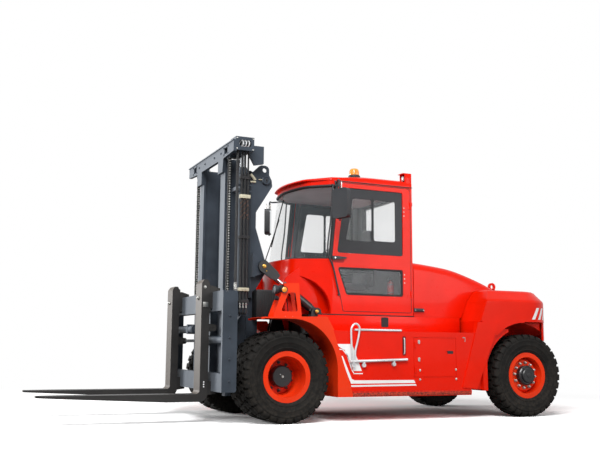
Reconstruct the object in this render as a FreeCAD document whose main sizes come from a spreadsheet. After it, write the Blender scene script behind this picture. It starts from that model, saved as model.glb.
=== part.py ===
import FreeCAD, Part
import math
import os

import Sketcher
from FreeCAD import Vector

# Counterbalance forklift with a two-stage mast, a fork carriage with side-shifting
# forks, a closed cab, dual drive wheels and a steered rear axle.
# Lengths are in millimetres.  +X points from the counterweight to the forks, +Y to the
# driver's left and +Z up.  Every body is drawn from the drive axle: x = 0 is the axle,
# z = 0 the ground.  The bodies' placements then put x = 0 in the middle of the overall
# length.

doc = FreeCAD.newDocument("CounterbalanceForklift")


# ---------------------------------------------------------------- driving dimensions

DIMENSIONS = {
    # overall
    "wheelbase": (3500, "drive axle to steer axle"),
    "fork_reach": (2783, "drive axle to fork tips"),
    "rear_reach": (4140, "drive axle to the back of the counterweight"),
    "seam": (5, "gap between panels that part"),
    "seat_gap": (0.3, "gap between pieces that rest on each other"),
    "pin_gap": (0.4, "radial play round a pin"),
    "bearing_gap": (0.9, "radial room round a spindle for its bearing"),
    # tyres and wheels
    "tyre_radius": (545, "loaded radius of every tyre"),
    "tyre_width": (313, "section width of a tyre"),
    "bead_radius": (254, "inner radius of a tyre"),
    "rim_width": (216, "between the rim flanges"),
    "rim_wall": (12, "wall of a rim barrel"),
    "flange_radius": (302, "outer radius of a rim flange"),
    "disc_wall": (16, "wall of a wheel disc"),
    "dual_spacing": (345, "between the two tyres of a dual wheel"),
    "front_track": (893, "middle of the vehicle to the middle of a dual wheel"),
    "rear_track": (1093, "middle of the vehicle to a steered wheel"),
    "hub_flange": (20, "wall of a hub flange"),
    "hub_flange_radius": (192, "outer radius of a hub flange"),
    "hub_radius": (130, "radius of the hub drum"),
    "spindle_radius": (70, "radius of the spindle inside a hub"),
    # steering
    "kingpin_track": (930, "middle of the vehicle to a kingpin"),
    "kingpin_radius": (28, "radius of a kingpin"),
    "steer_beam_half": (85, "half the depth of the steer axle beam"),
    # frame
    "frame_half": (420, "middle of the vehicle to the outside of a frame plate"),
    "frame_wall": (40, "thickness of a frame plate"),
    "frame_bottom": (380, "ground to the frame plates"),
    "deck_height": (1080, "ground to the top of the frame plates"),
    "deck_wall": (20, "thickness of the deck plates"),
    "tub_height": (1300, "ground to the top of the side walls under the cab"),
    "tub_half": (750, "middle of the vehicle to a side wall under the cab"),
    "tub_wall": (30, "thickness of the side walls under the cab"),
    "axle_tube_radius": (110, "radius of the drive axle tube"),
    "diff_radius": (235, "radius of the differential housing"),
    # side boxes and fenders
    "body_half": (1200, "middle of the vehicle to the side boxes"),
    "box_top": (1100, "ground to the top of a side box"),
    "box_bottom": (300, "ground to the bottom of a side box"),
    "box_front": (600, "drive axle back to the top front of a side box"),
    "box_rear": (2700, "drive axle back to the top rear of a side box"),
    "box_wall": (12, "wall of the tool compartment"),
    "door_skin": (16, "thickness of the compartment door"),
    "locker_front": (1740, "drive axle back to the front of the compartment door"),
    "locker_rear": (2370, "drive axle back to the rear of the compartment door"),
    "locker_bottom": (535, "ground to the bottom of the compartment door"),
    "locker_top": (1025, "ground to the top of the compartment door"),
    "locker_depth": (340, "depth of the compartment"),
    "fender_inner": (770, "middle of the vehicle to the inner edge of a fender"),
    "fender_tip": (460, "drive axle forward to a fender tip"),
    "fender_top": (1245, "ground to the top of a fender over the axle"),
    "arch_radius": (600, "radius of the rear of the fender arch"),
    "bracket_head": (1660, "ground to the top of a lamp bracket"),
    "lamp_track": (990, "middle of the vehicle to a headlamp"),
    # counterweight
    "weight_front": (2780, "drive axle back to the shoulder's front"),
    "weight_half": (1200, "middle of the vehicle to the counterweight's side"),
    "weight_seam": (1260, "ground to the seam in the counterweight"),
    "weight_top": (1690, "ground to the top of the counterweight"),
    "weight_corner": (600, "plan radius of the rear corners"),
    "weight_round": (150, "rounding along the top edges"),
    "wheelhouse_radius": (705, "radius of the rear wheel house"),
    "eye_radius": (50, "outer radius of a lifting eye"),
    "eye_bore": (24, "bore radius of a lifting eye"),
    "eye_wall": (36, "thickness of a lifting eye"),
    # hood
    "hood_half": (738, "middle of the vehicle to the hood's side"),
    "hood_wall": (30, "thickness of the hood"),
    "hood_front_top": (2110, "ground to the hood's top at the cab"),
    "hood_rear": (3600, "drive axle back to the hood hinge"),
    "hood_deck": (1560, "ground to the middle of the counterweight under the hood"),
    # cab
    "cab_half": (750, "middle of the vehicle to the cab's side"),
    "cab_wall": (45, "thickness of the cab's walls and doors"),
    "cab_rear": (2015, "drive axle back to the cab's rear wall"),
    "cab_floor": (1315, "ground to the underside of the cab"),
    "cowl_top": (2030, "ground to the top of the front cowl"),
    "shell_top": (3070, "ground to the top of the cab shell"),
    "roof_top": (3255, "ground to the top of the roof"),
    "nose_front": (165, "drive axle back to the front of the cowl"),
    "glass_front": (270, "drive axle back to the bottom of the windscreen"),
    "glass_lean": (140, "how far the windscreen leans back"),
    "glass_wall": (8, "thickness of the glass"),
    "pillar_foot": (790, "drive axle back to the foot of the windscreen pillar"),
    "cowl_recess": (455, "radius of the recess over the tilt cylinder"),
    "cowl_recess_half": (560, "middle of the vehicle to the bottom of the recess"),
    "door_foot": (1360, "ground to the door's lower edge"),
    "door_head": (3045, "ground to the door's upper edge"),
    "beacon_x": (1330, "drive axle back to the beacon"),
    "beacon_y": (400, "middle of the vehicle to the beacon"),
    # mast
    "pivot_x": (200, "drive axle forward to the mast pivot"),
    "pivot_z": (500, "ground to the mast pivot"),
    "pivot_radius": (30, "radius of the mast pivot pins"),
    "outer_front": (550, "drive axle forward to the outer rail's front"),
    "outer_rear": (250, "drive axle forward to the outer rail's back"),
    "outer_half": (545, "middle of the vehicle to the outside of an outer rail"),
    "outer_flange": (105, "width of an outer rail"),
    "rail_wall": (30, "thickness of the rail walls"),
    "outer_foot": (300, "ground to the foot of the outer mast"),
    "outer_head": (3130, "ground to the head of the outer mast"),
    "inner_front": (600, "drive axle forward to the inner rail's front"),
    "inner_rear": (330, "drive axle forward to the inner rail's back"),
    "inner_foot": (430, "ground to the foot of the inner rails"),
    "inner_head": (3280, "ground to the head of the inner rails"),
    "inner_gauge": (355, "middle of the vehicle to an inner rail's flange"),
    "inner_lip": (531, "middle of the vehicle to the front flange's outer edge"),
    "head_half": (952, "half the width of the head beam"),
    "head_top": (3400, "ground to the top of the head beam"),
    "chain_track": (656, "middle of the vehicle to a lift chain"),
    "chain_x": (587, "drive axle forward to the front strand"),
    "chain_width": (40, "width of a lift chain"),
    "chain_wall": (22, "thickness of a lift chain"),
    "sheave_radius": (75, "pitch radius of a chain sheave"),
    "sheave_z": (3310, "ground to the sheaves' axis"),
    "lift_track": (770, "middle of the vehicle to a lift cylinder"),
    "lift_x": (450, "drive axle forward to a lift cylinder"),
    "lift_barrel": (62, "radius of a lift cylinder"),
    "lift_rod": (42, "radius of a lift rod"),
    "lift_foot": (1330, "ground to the foot of a lift cylinder"),
    "lift_neck": (3080, "ground to the neck of a lift cylinder"),
    "lug_track": (615, "middle of the vehicle to a mast side plate"),
    "lug_wall": (30, "thickness of a mast side plate"),
    "mast_eye_x": (100, "drive axle forward to a mast lifting eye"),
    "mast_eye_bore": (30, "bore radius of a mast lifting eye"),
    "outer_tie_rear": (210, "drive axle forward to the back of the outer ties"),
    "inner_tie_rear": (290, "drive axle forward to the back of the inner ties"),
    "roller_radius": (118, "radius of a mast roller"),
    "clamp_foot": (2830, "ground to the clamp round a lift cylinder"),
    "hose_track": (870, "middle of the vehicle to the mast hoses"),
    "hose_radius": (15, "radius of a mast hose"),
    "hose_neck": (3000, "ground to the upper hose fittings"),
    # tilt cylinders
    "tilt_track": (660, "middle of the vehicle to a tilt cylinder"),
    "tilt_eye_x": (140, "drive axle forward to the tilt pin on the mast"),
    "tilt_eye_z": (1885, "ground to the tilt pin on the mast"),
    "tilt_foot_x": (600, "drive axle back to the tilt pin on the frame"),
    "tilt_foot_z": (1345, "ground to the tilt pin on the frame"),
    "tilt_barrel": (55, "radius of a tilt cylinder"),
    "tilt_rod": (30, "radius of a tilt rod"),
    "tilt_pin": (25, "radius of a tilt pin"),
    "tilt_barrel_length": (550, "foot pin to the neck of a tilt cylinder"),
    "tilt_eye_width": (46, "width of a tilt cylinder's eye"),
    "tilt_eye_play": (14, "radial play of the rod's eye, where the linkage is opened"),
    # carriage and forks
    "bar_front": (800, "drive axle forward to the carriage's front"),
    "bar_rear": (690, "drive axle forward to the back of the carriage bars"),
    "carriage_half": (1150, "half the width of the carriage"),
    "carriage_top": (1545, "ground to the top of the carriage"),
    "carriage_bottom": (372, "ground to the bottom of the carriage"),
    "upper_bar": (235, "height of the upper bar"),
    "lower_bar": (215, "height of the lower bar"),
    "end_plate": (45, "thickness of a carriage end plate"),
    "end_depth": (180, "depth of a carriage end plate"),
    "roller_plate_half": (340, "middle of the vehicle to a roller plate"),
    "roller_plate_wall": (45, "thickness of a roller plate"),
    "fork_track": (660, "middle of the vehicle to a fork"),
    "fork_width": (240, "width of a fork"),
    "fork_wall": (100, "thickness of a fork's shank"),
    "fork_back": (845, "drive axle forward to the back of a fork's shank"),
    "fork_bottom": (250, "ground to the underside of a fork"),
    "fork_head": (1690, "ground to the top of a fork's shank"),
    "blade_wall": (90, "thickness of a fork's blade at the heel"),
    "tip_wall": (22, "thickness of a fork's tip"),
    "positioner_x": (745, "drive axle forward to the fork positioners"),
    "positioner_radius": (50, "radius of a positioner cylinder"),
    "positioner_rod": (20, "radius of a positioner rod"),
    "positioner_neck": (100, "middle of the vehicle to the open end of a positioner"),
}


class Size:
    """A length that knows both its value and the sheet's expression for it."""

    def __init__(self, value, text):
        self.value = value
        self.text = text

    def _with(self, other, value, form):
        text = other.text if isinstance(other, Size) else repr(other)
        return Size(value, form % (self.text, text))

    def __add__(self, other):
        return self._with(other, self.value + plain(other), "(%s + %s)")

    def __sub__(self, other):
        return self._with(other, self.value - plain(other), "(%s - %s)")

    def __mul__(self, other):
        return self._with(other, self.value * plain(other), "(%s * %s)")

    def __truediv__(self, other):
        return self._with(other, self.value / plain(other), "(%s / %s)")

    def __neg__(self):
        return Size(-self.value, "(-1 * %s)" % self.text)

    __radd__ = __add__
    __rmul__ = __mul__

    def __rsub__(self, other):
        return -self + other


def plain(size):
    """The number behind a size."""
    return size.value if isinstance(size, Size) else size


def bind(target, name, size):
    """Tie a property to the sheet, or set it when the size is a bare number."""
    if isinstance(size, Size):
        target.setExpression(name, size.text)
    else:
        target.setExpression(name, repr(float(size)))


class Sizes:
    """The spreadsheet's cells as attributes."""


def fill_sheet(table):
    """Write the driving dimensions into the spreadsheet, one row each."""
    sheet = doc.addObject("Spreadsheet::Sheet", "Dims")
    sizes = Sizes()
    for row, (name, (value, note)) in enumerate(table.items(), start=1):
        sheet.set("A%d" % row, name)
        sheet.set("B%d" % row, str(value))
        sheet.set("C%d" % row, note)
        sheet.setAlias("B%d" % row, name)
        setattr(sizes, name, Size(value, "Dims.%s" % name))
    doc.recompute()
    return sizes


d = fill_sheet(DIMENSIONS)

# ------------------------------------------------------------------------ drawing kit

# plane -> (role of the origin plane, sign of the offset, pad and pocket reversed)
PLANES = {
    "plan": ("XY_Plane", 1, False, True),
    "side": ("XZ_Plane", -1, True, False),
    "front": ("YZ_Plane", 1, False, True),
}
AXES = {"x": "X_Axis", "y": "Y_Axis", "z": "Z_Axis"}
PIECES = []


def arc_between(before, corner, after, radius):
    """Centre, ends and turn of the arc that rounds a corner."""
    back = (before - corner).normalize()
    ahead = (after - corner).normalize()
    half = math.acos(max(-1.0, min(1.0, back * ahead))) / 2
    reach = radius / math.tan(half)
    middle = (back + ahead).normalize()
    centre = corner + middle * (radius / math.sin(half))
    left_turn = (corner - before).cross(after - corner).z > 0
    return centre, corner + back * reach, corner + ahead * reach, left_turn


class Piece:
    """One sub-part: a PartDesign body built from sketches in the vehicle's planes."""

    def __init__(self, label, x=0, y=0, z=0):
        self.body = doc.addObject("PartDesign::Body", label)
        self.body.Label = label
        bind(self.body, "Placement.Base.x", FRONT_AXLE + x)
        bind(self.body, "Placement.Base.y", y)
        bind(self.body, "Placement.Base.z", z)
        self.cuts = []
        PIECES.append(self)

    def origin(self, role):
        """A plane or an axis of the body's own origin."""
        features = self.body.Origin.OriginFeatures
        return next(item for item in features if item.Role == role)

    def sketch(self, plane, offset):
        """An empty sketch, parallel to one of the body's planes."""
        role, sign, _, _ = PLANES[plane]
        sketch = self.body.newObject("Sketcher::SketchObject", "Sketch")
        sketch.AttachmentSupport = (self.origin(role), [""])
        sketch.MapMode = "FlatFace"
        bind(sketch, "AttachmentOffset.Base.z", offset * sign)
        return sketch

    def outline(self, plane, corners, offset=0):
        """A closed outline through corners (u, v) or (u, v, radius)."""
        sketch = self.sketch(plane, offset)
        count = len(corners)
        spots = [Vector(plain(corner[0]), plain(corner[1]), 0) for corner in corners]
        starts = list(spots)
        ends = list(spots)
        arcs = []
        for i, corner in enumerate(corners):
            if len(corner) == 3:
                rounding = arc_between(spots[i - 1], spots[i], spots[(i + 1) % count],
                                       plain(corner[2]))
                arcs.append((i, rounding))
                ends[i] = rounding[1]
                starts[i] = rounding[2]
        edges = [Part.LineSegment(starts[i], ends[(i + 1) % count]) for i in range(count)]
        for i, (centre, entry, leave, left_turn) in arcs:
            first, last = (entry, leave) if left_turn else (leave, entry)
            circle = Part.Circle(centre, Vector(0, 0, 1), (entry - centre).Length)
            low = math.atan2(first.y - centre.y, first.x - centre.x)
            high = math.atan2(last.y - centre.y, last.x - centre.x)
            edges.append(Part.ArcOfCircle(circle, low, high))
        sketch.addGeometry(edges, False)
        rounded = {i: count + n for n, (i, _) in enumerate(arcs)}
        turns = {i: rounding[3] for i, rounding in arcs}
        marks = {}
        for i in rounded:
            marks[i] = sketch.addGeometry(Part.Point(spots[i]), True)
        rules = []
        bound = []
        for i, corner in enumerate(corners):
            before = (i - 1) % count
            if i in rounded:
                arc = rounded[i]
                entry, leave = (1, 2) if turns[i] else (2, 1)
                rules.append(Sketcher.Constraint("Tangent", before, 2, arc, entry))
                rules.append(Sketcher.Constraint("Tangent", i, 1, arc, leave))
                rules.append(Sketcher.Constraint("PointOnObject", marks[i], 1, before))
                rules.append(Sketcher.Constraint("PointOnObject", marks[i], 1, i))
                bound.append((len(rules), corner[2]))
                rules.append(Sketcher.Constraint("Radius", arc, plain(corner[2])))
                spot = marks[i]
            else:
                rules.append(Sketcher.Constraint("Coincident", before, 2, i, 1))
                spot = i
            bound.append((len(rules), corner[0]))
            rules.append(Sketcher.Constraint("DistanceX", -1, 1, spot, 1, spots[i].x))
            bound.append((len(rules), corner[1]))
            rules.append(Sketcher.Constraint("DistanceY", -1, 1, spot, 1, spots[i].y))
        sketch.addConstraint(rules)
        for number, size in bound:
            if isinstance(size, Size):
                sketch.setExpression("Constraints[%d]" % number, size.text)
        return sketch

    def circle(self, plane, u, v, radius, offset=0):
        """A circle round (u, v)."""
        sketch = self.sketch(plane, offset)
        centre = Vector(plain(u), plain(v), 0)
        sketch.addGeometry(Part.Circle(centre, Vector(0, 0, 1), plain(radius)), False)
        sketch.addConstraint([
            Sketcher.Constraint("DistanceX", -1, 1, 0, 3, centre.x),
            Sketcher.Constraint("DistanceY", -1, 1, 0, 3, centre.y),
            Sketcher.Constraint("Radius", 0, plain(radius)),
        ])
        for number, size in enumerate((u, v, radius)):
            if isinstance(size, Size):
                sketch.setExpression("Constraints[%d]" % number, size.text)
        return sketch

    def extrude(self, kind, plane, sketch, length):
        """A pad or pocket that runs towards the plane's positive side."""
        feature = self.body.newObject("PartDesign::" + kind, kind)
        feature.Profile = sketch
        bind(feature, "Length", length)
        feature.Reversed = PLANES[plane][2 if kind == "Pad" else 3]
        if kind == "Pocket":
            self.cuts.append(feature)
        return feature

    def pad(self, plane, corners, start, end):
        """Add the outline between two offsets."""
        sketch = self.outline(plane, corners, start)
        return self.extrude("Pad", plane, sketch, end - start)

    def pocket(self, plane, corners, start, end):
        """Cut the outline between two offsets."""
        sketch = self.outline(plane, corners, start)
        return self.extrude("Pocket", plane, sketch, end - start)

    def boss(self, plane, u, v, radius, start, end):
        """Add a round bar between two offsets."""
        sketch = self.circle(plane, u, v, radius, start)
        return self.extrude("Pad", plane, sketch, end - start)

    def bore(self, plane, u, v, radius, start, end):
        """Cut a round hole between two offsets."""
        sketch = self.circle(plane, u, v, radius, start)
        return self.extrude("Pocket", plane, sketch, end - start)

    def box(self, x0, x1, y0, y1, z0, z1):
        """Add a block between its six faces."""
        return self.pad("plan", [(x0, y0), (x1, y0), (x1, y1), (x0, y1)], z0, z1)

    def slot(self, x0, x1, y0, y1, z0, z1):
        """Cut a block between its six faces."""
        return self.pocket("plan", [(x0, y0), (x1, y0), (x1, y1), (x0, y1)], z0, z1)

    def turn(self, plane, corners, axis, kind="Revolution", offset=0):
        """Revolve the outline once round an axis of the body."""
        sketch = self.outline(plane, corners, offset)
        feature = self.body.newObject("PartDesign::" + kind, kind)
        feature.Profile = sketch
        feature.ReferenceAxis = (self.origin(AXES[axis]), [""])
        feature.Angle = 360
        if kind == "Groove":
            self.cuts.append(feature)
        return feature

    def loft(self, lower, upper, low, high, kind="AdditiveLoft"):
        """A straight loft between two plan outlines of as many corners."""
        first = self.outline("plan", lower, low)
        second = self.outline("plan", upper, high)
        feature = self.body.newObject("PartDesign::" + kind, kind)
        feature.Profile = first
        feature.Sections = [second]
        feature.Ruled = True
        if kind == "SubtractiveLoft":
            self.cuts.append(feature)
        return feature

    def skin(self, plane, sections, kind="AdditiveLoft"):
        """A smooth loft through (offset, corners) sections of as many corners."""
        sketches = [self.outline(plane, corners, offset) for offset, corners in sections]
        feature = self.body.newObject("PartDesign::" + kind, kind)
        feature.Profile = sketches[0]
        feature.Sections = sketches[1:]
        if kind == "SubtractiveLoft":
            self.cuts.append(feature)
        return feature

    def fillet(self, radius, chosen):
        """Round the edges of the body's last feature that the test picks."""
        doc.recompute()
        base = self.body.Tip
        names = ["Edge%d" % (i + 1) for i, edge in enumerate(base.Shape.Edges)
                 if chosen(edge)]
        feature = self.body.newObject("PartDesign::Fillet", "Fillet")
        feature.Base = (base, names)
        bind(feature, "Radius", radius)
        return feature


# middle of the overall length is x = 0 in the finished vehicle
FRONT_AXLE = (d.rear_reach - d.fork_reach) / 2
REAR_AXLE = -d.wheelbase
SIDES = {"left": 1, "right": -1}


def mirrored(start, end, side):
    """Offsets of a left-hand stretch, or of its copy on the right."""
    return (start, end) if side > 0 else (-end, -start)


# -------------------------------------------------------------------- tyres and wheels

def tyre_ring(piece, middle):
    """A tyre's section, turned round the wheel axis."""
    tread = d.tyre_radius
    half = d.tyre_width / 2
    bead = d.rim_width / 2
    side = [
        (d.bead_radius, bead),
        (d.flange_radius, bead),
        (d.flange_radius + 40, half - 12, 30),
        (tread * 0.79, half, 60),
        (tread - 38, half - 8, 35),
        (tread, half - 34, 20),
    ]
    upper = [(r, middle + y, *rest) for r, y, *rest in side]
    lower = [(r, middle - y, *rest) for r, y, *rest in reversed(side)]
    piece.turn("plan", upper + lower, "y")


def rim_ring(piece, middle, out, face):
    """A rim barrel with its flanges and a coned disc; out is +1 or -1, face its seat."""
    seat = d.bead_radius - d.seat_gap
    inside = seat - d.rim_wall
    bead = d.rim_width / 2 + d.seat_gap
    edge = bead + d.rim_wall
    bore = d.hub_radius + d.seat_gap
    ring = d.hub_flange_radius + 8
    profile = [
        (d.flange_radius, edge),
        (d.flange_radius, bead),
        (seat, bead),
        (seat, -bead),
        (d.flange_radius, -bead),
        (d.flange_radius, -edge),
        (inside, -edge),
    ]
    turned = [(r, middle + out * y) for r, y in profile]
    cone = [
        (inside, face + out * 95),
        (ring + 8, face),
        (bore, face),
        (bore, face + out * d.disc_wall),
        (ring, face + out * d.disc_wall),
        (inside, face + out * 122),
        (inside, middle + out * edge),
    ]
    piece.turn("plan", turned + cone, "y")


def front_wheel(side, name):
    """Dual tyres, their two rims and the hub between them."""
    track = side * d.front_track
    half = d.dual_spacing / 2
    tyres = Piece("front_%s_tyres" % name, 0, track, d.tyre_radius)
    rims = Piece("front_%s_rims" % name, 0, track, d.tyre_radius)
    for out in (side, -side):
        tyre_ring(tyres, half * out)
        rim_ring(rims, half * out, out, d.hub_flange / 2 * out)
    hub = Piece("front_%s_hub" % name, 0, track, d.tyre_radius)
    bore = d.spindle_radius + d.bearing_gap
    cap = d.hub_radius
    flange = d.hub_flange / 2 - d.seat_gap
    drum = [
        (bore, -150), (cap + 22, -150), (cap + 22, -140), (cap, -130), (cap, -flange),
        (d.hub_flange_radius, -flange), (d.hub_flange_radius, flange), (cap, flange),
        (cap, 140), (cap - 12, 152), (0, 152), (0, 120), (bore, 120),
    ]
    hub.turn("plan", [(r, y * side) for r, y in drum], "y")


def rear_wheel(side, name):
    """A steered wheel: tyre, rim and a hub whose cap stands proud of the rim."""
    track = side * d.rear_track
    tyre = Piece("rear_%s_tyre" % name, REAR_AXLE, track, d.tyre_radius)
    tyre_ring(tyre, 0)
    rim = Piece("rear_%s_rim" % name, REAR_AXLE, track, d.tyre_radius)
    seat = d.bead_radius - d.seat_gap
    inside = seat - d.rim_wall
    bead = d.rim_width / 2 + d.seat_gap
    edge = bead + d.rim_wall
    bore = d.hub_radius + d.seat_gap
    face = 40
    profile = [
        (d.flange_radius, edge), (d.flange_radius, bead), (seat, bead), (seat, -bead),
        (d.flange_radius, -bead), (d.flange_radius, -edge), (inside, -edge),
        (inside, -50), (205, face), (bore, face), (bore, face + d.disc_wall),
        (200, face + d.disc_wall), (inside, -20), (inside, edge),
    ]
    rim.turn("plan", [(r, y * side) for r, y in profile], "y")
    hub = Piece("rear_%s_hub" % name, REAR_AXLE, track, d.tyre_radius)
    cap = d.hub_radius
    nose = cap - 35
    back = face - d.seat_gap
    inner = d.spindle_radius - 15 + d.bearing_gap
    drum = [
        (inner, -40), (cap - 10, -40), (cap, back - d.hub_flange),
        (d.hub_flange_radius, back - d.hub_flange), (d.hub_flange_radius, back),
        (cap, back), (cap, 118), (cap - 14, 132), (nose, 132), (nose, 150), (nose - 8, 158),
        (0, 158), (0, 100), (inner, 100),
    ]
    hub.turn("plan", [(r, y * side) for r, y in drum], "y")


for name, side in SIDES.items():
    front_wheel(side, name)
    rear_wheel(side, name)


# ------------------------------------------------------------------------------- axles

def make_front_axle():
    """Drive axle: differential housing, tubes and the spindles inside the hubs."""
    axle = Piece("front_axle", 0, 0, d.tyre_radius)
    stub = d.front_track - 155
    end = d.front_track + 115
    half = [
        (0, -end), (d.spindle_radius, -end), (d.spindle_radius, -stub),
        (d.axle_tube_radius, -stub), (d.axle_tube_radius, -270), (d.diff_radius, -150, 60),
        (d.diff_radius, 150, 60), (d.axle_tube_radius, 270), (d.axle_tube_radius, stub),
        (d.spindle_radius, stub), (d.spindle_radius, end), (0, end),
    ]
    axle.turn("plan", half, "y")


def make_steer_axle():
    """Steer axle beam with a yoke and a fixed kingpin at each end."""
    axle = Piece("steer_axle", REAR_AXLE, 0, d.tyre_radius)
    beam = d.steer_beam_half
    yoke = d.kingpin_track - 110
    lap, ear, tall, wide = 30, 40, 165, 70
    axle.box(-beam, beam, -yoke, yoke, -115, 115)
    axle.slot(-beam + 25, beam - 25, -yoke + 150, yoke - 150, -95, -20)
    for side in SIDES.values():
        track = side * d.kingpin_track
        start, end = mirrored(yoke - lap, d.kingpin_track, side)
        for low in (-tall, tall - ear):
            axle.boss("plan", 0, track, wide + 5, low, low + ear)
            axle.box(-wide, wide, start, end, low, low + ear)
        start, end = mirrored(yoke - lap, yoke, side)
        axle.box(-wide, wide, start, end, -tall, tall)
        axle.boss("plan", 0, track, d.kingpin_radius, -tall, tall)


def make_knuckle(side, name):
    """Steering knuckle: a block round the kingpin, its spindle and its arm."""
    knuckle = Piece("steer_knuckle_%s" % name, REAR_AXLE, side * d.kingpin_track,
                    d.tyre_radius)
    spindle = d.spindle_radius - 15
    knuckle.boss("plan", 0, 0, 68, -120, 120)
    reach = d.rear_track - d.kingpin_track + 80
    if side > 0:
        knuckle.boss("side", 0, 0, spindle, 0, reach)
    else:
        knuckle.boss("side", 0, 0, spindle, -reach, 0)
    knuckle.box(-100, -40, -25, 25, -70, -35)
    knuckle.bore("plan", 0, 0, d.kingpin_radius + d.pin_gap, -120, 120)


make_front_axle()
make_steer_axle()
for name, side in SIDES.items():
    make_knuckle(side, name)


# ------------------------------------------------------------------------------- frame

def tilt_lug():
    """Outline of a bracket plate that holds a tilt cylinder's foot."""
    x = -d.tilt_foot_x
    return [
        (x - 130, d.deck_height - 5), (x + 120, d.deck_height - 5),
        (x + 52, d.tilt_foot_z + 50, 45), (x - 60, d.tilt_foot_z + 50, 45),
    ]


def make_frame():
    """Two side plates with the mast pivots, deck plates and the tub under the cab."""
    frame = Piece("frame")
    outside = d.frame_half
    inside = d.frame_half - d.frame_wall
    top = d.deck_height
    rear = d.wheelbase + 450
    plate = [
        (60, top), (100, d.pivot_z + 200), (d.pivot_x, d.pivot_z + 60),
        (d.pivot_x, d.pivot_z - 60), (-100, d.frame_bottom),
        (-(d.wheelbase - 450), d.frame_bottom), (-(d.wheelbase - 250), d.tyre_radius + 185),
        (-rear, d.tyre_radius + 185), (-rear, top),
    ]
    for side in SIDES.values():
        low, high = mirrored(inside, outside, side)
        frame.pad("side", plate, low, high)
        frame.boss("side", d.pivot_x, d.pivot_z, 60, low, high)
        low, high = mirrored(inside, d.outer_half - 50, side)
        frame.boss("side", d.pivot_x, d.pivot_z, d.pivot_radius, low, high)
    frame.bore("side", 0, d.tyre_radius, d.axle_tube_radius + d.seat_gap, -outside, outside)
    # cross plates between the side plates
    frame.box(-520, -480, -inside, inside, d.frame_bottom + 20, top)
    frame.box(-(d.wheelbase - 620), -520, -inside, inside, d.frame_bottom,
              d.frame_bottom + 12)
    frame.box(-(d.wheelbase + 180), -(d.wheelbase - 180), -outside, outside,
              d.tyre_radius + 115.3, top - 120)
    # deck plates and the red side walls under the cab and the hood
    wall = d.tub_half
    for side in SIDES.values():
        low, high = mirrored(inside, wall, side)
        frame.box(-(d.weight_front - 30), -470, low, high, top - d.deck_wall, top)
        low, high = mirrored(wall - d.tub_wall, wall, side)
        frame.box(-(d.weight_front - 30), -840, low, high, top - d.deck_wall, d.tub_height)
    # cross walls of the tub, with the cab's mounts on top
    for x in (-885, -1985):
        frame.box(x - 15, x + 15, -wall, wall, top - d.deck_wall, d.tub_height)
        for side in SIDES.values():
            frame.boss("plan", x, side * 600, 32, d.tub_height - 5, d.cab_floor - d.seat_gap)
    # tilt cylinder brackets
    lug = d.tilt_eye_width / 2 + 4
    for side in SIDES.values():
        for start in (d.tilt_track - lug - 20, d.tilt_track + lug):
            low, high = mirrored(start, start + 20, side)
            frame.pad("side", tilt_lug(), low, high)
        low, high = mirrored(d.tilt_track - lug - 10, d.tilt_track + lug + 26, side)
        frame.boss("side", -d.tilt_foot_x, d.tilt_foot_z, d.tilt_pin, low, high)


make_frame()


def inner_width():
    """Half the clear width between the frame plates, touching them."""
    return d.frame_half - d.frame_wall - d.seat_gap


def make_engine():
    """Engine and gearbox as one block at their real place."""
    engine = Piece("engine_block")
    half = inner_width()
    engine.box(-2740, -1500, -290, 290, 520, 1040)
    engine.box(-2700, -2150, -300, 300, 1040, 1800)
    engine.box(-1900, -1500, -half, half, 470, 560)


make_engine()


# --------------------------------------------------------- side boxes, fenders, lockers

def side_box_outline():
    """Side view of a side box: both ends slope with the fender and counterweight."""
    return [
        (-d.box_front, d.box_top), (-(d.box_front + 285), d.box_bottom),
        (-(d.box_rear - 110), d.box_bottom), (-d.box_rear, d.box_top),
    ]


def make_side_box(side, name):
    """Side box with its lip; the left one holds an open compartment."""
    box = Piece("%s_side_box" % name)
    inner = d.frame_half + d.seat_gap
    low, high = mirrored(inner, d.body_half, side)
    box.pad("side", side_box_outline(), low, high)
    low, high = mirrored(d.body_half - 5, d.body_half + 12, side)
    box.pad("side", [
        (-(d.box_front + 265), d.box_bottom + 62, 8), (-(d.box_front + 286), d.box_bottom, 8),
        (-(d.box_rear - 105), d.box_bottom, 8), (-(d.box_rear - 96), d.box_bottom + 62, 8),
    ], low, high)
    # shelf under the deck plate
    low, high = mirrored(inner, d.tub_half + d.seat_gap, side)
    box.slot(-(d.box_rear + 60), -(d.box_front - 80), low, high,
             d.deck_height - d.deck_wall - d.seat_gap, d.box_top + 20)
    if name == "left":
        box.slot(-d.locker_rear + d.box_wall, -d.locker_front - d.box_wall,
                 d.body_half - d.locker_depth, d.body_half + 10,
                 d.locker_bottom + d.box_wall, d.locker_top - d.box_wall)
        box.slot(-d.locker_rear - d.seam, -d.locker_front + d.seam,
                 d.body_half - d.door_skin - d.seat_gap, d.body_half + 10,
                 d.locker_bottom - d.seam, d.locker_top + d.seam)
        # room for the hinged edge to turn
        box.slot(-(d.locker_front + 60), -(d.locker_front - d.seam),
                 d.body_half - d.door_skin - 8, d.body_half,
                 d.locker_bottom - d.seam, d.locker_top + d.seam)


for name, side in SIDES.items():
    make_side_box(side, name)


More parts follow.
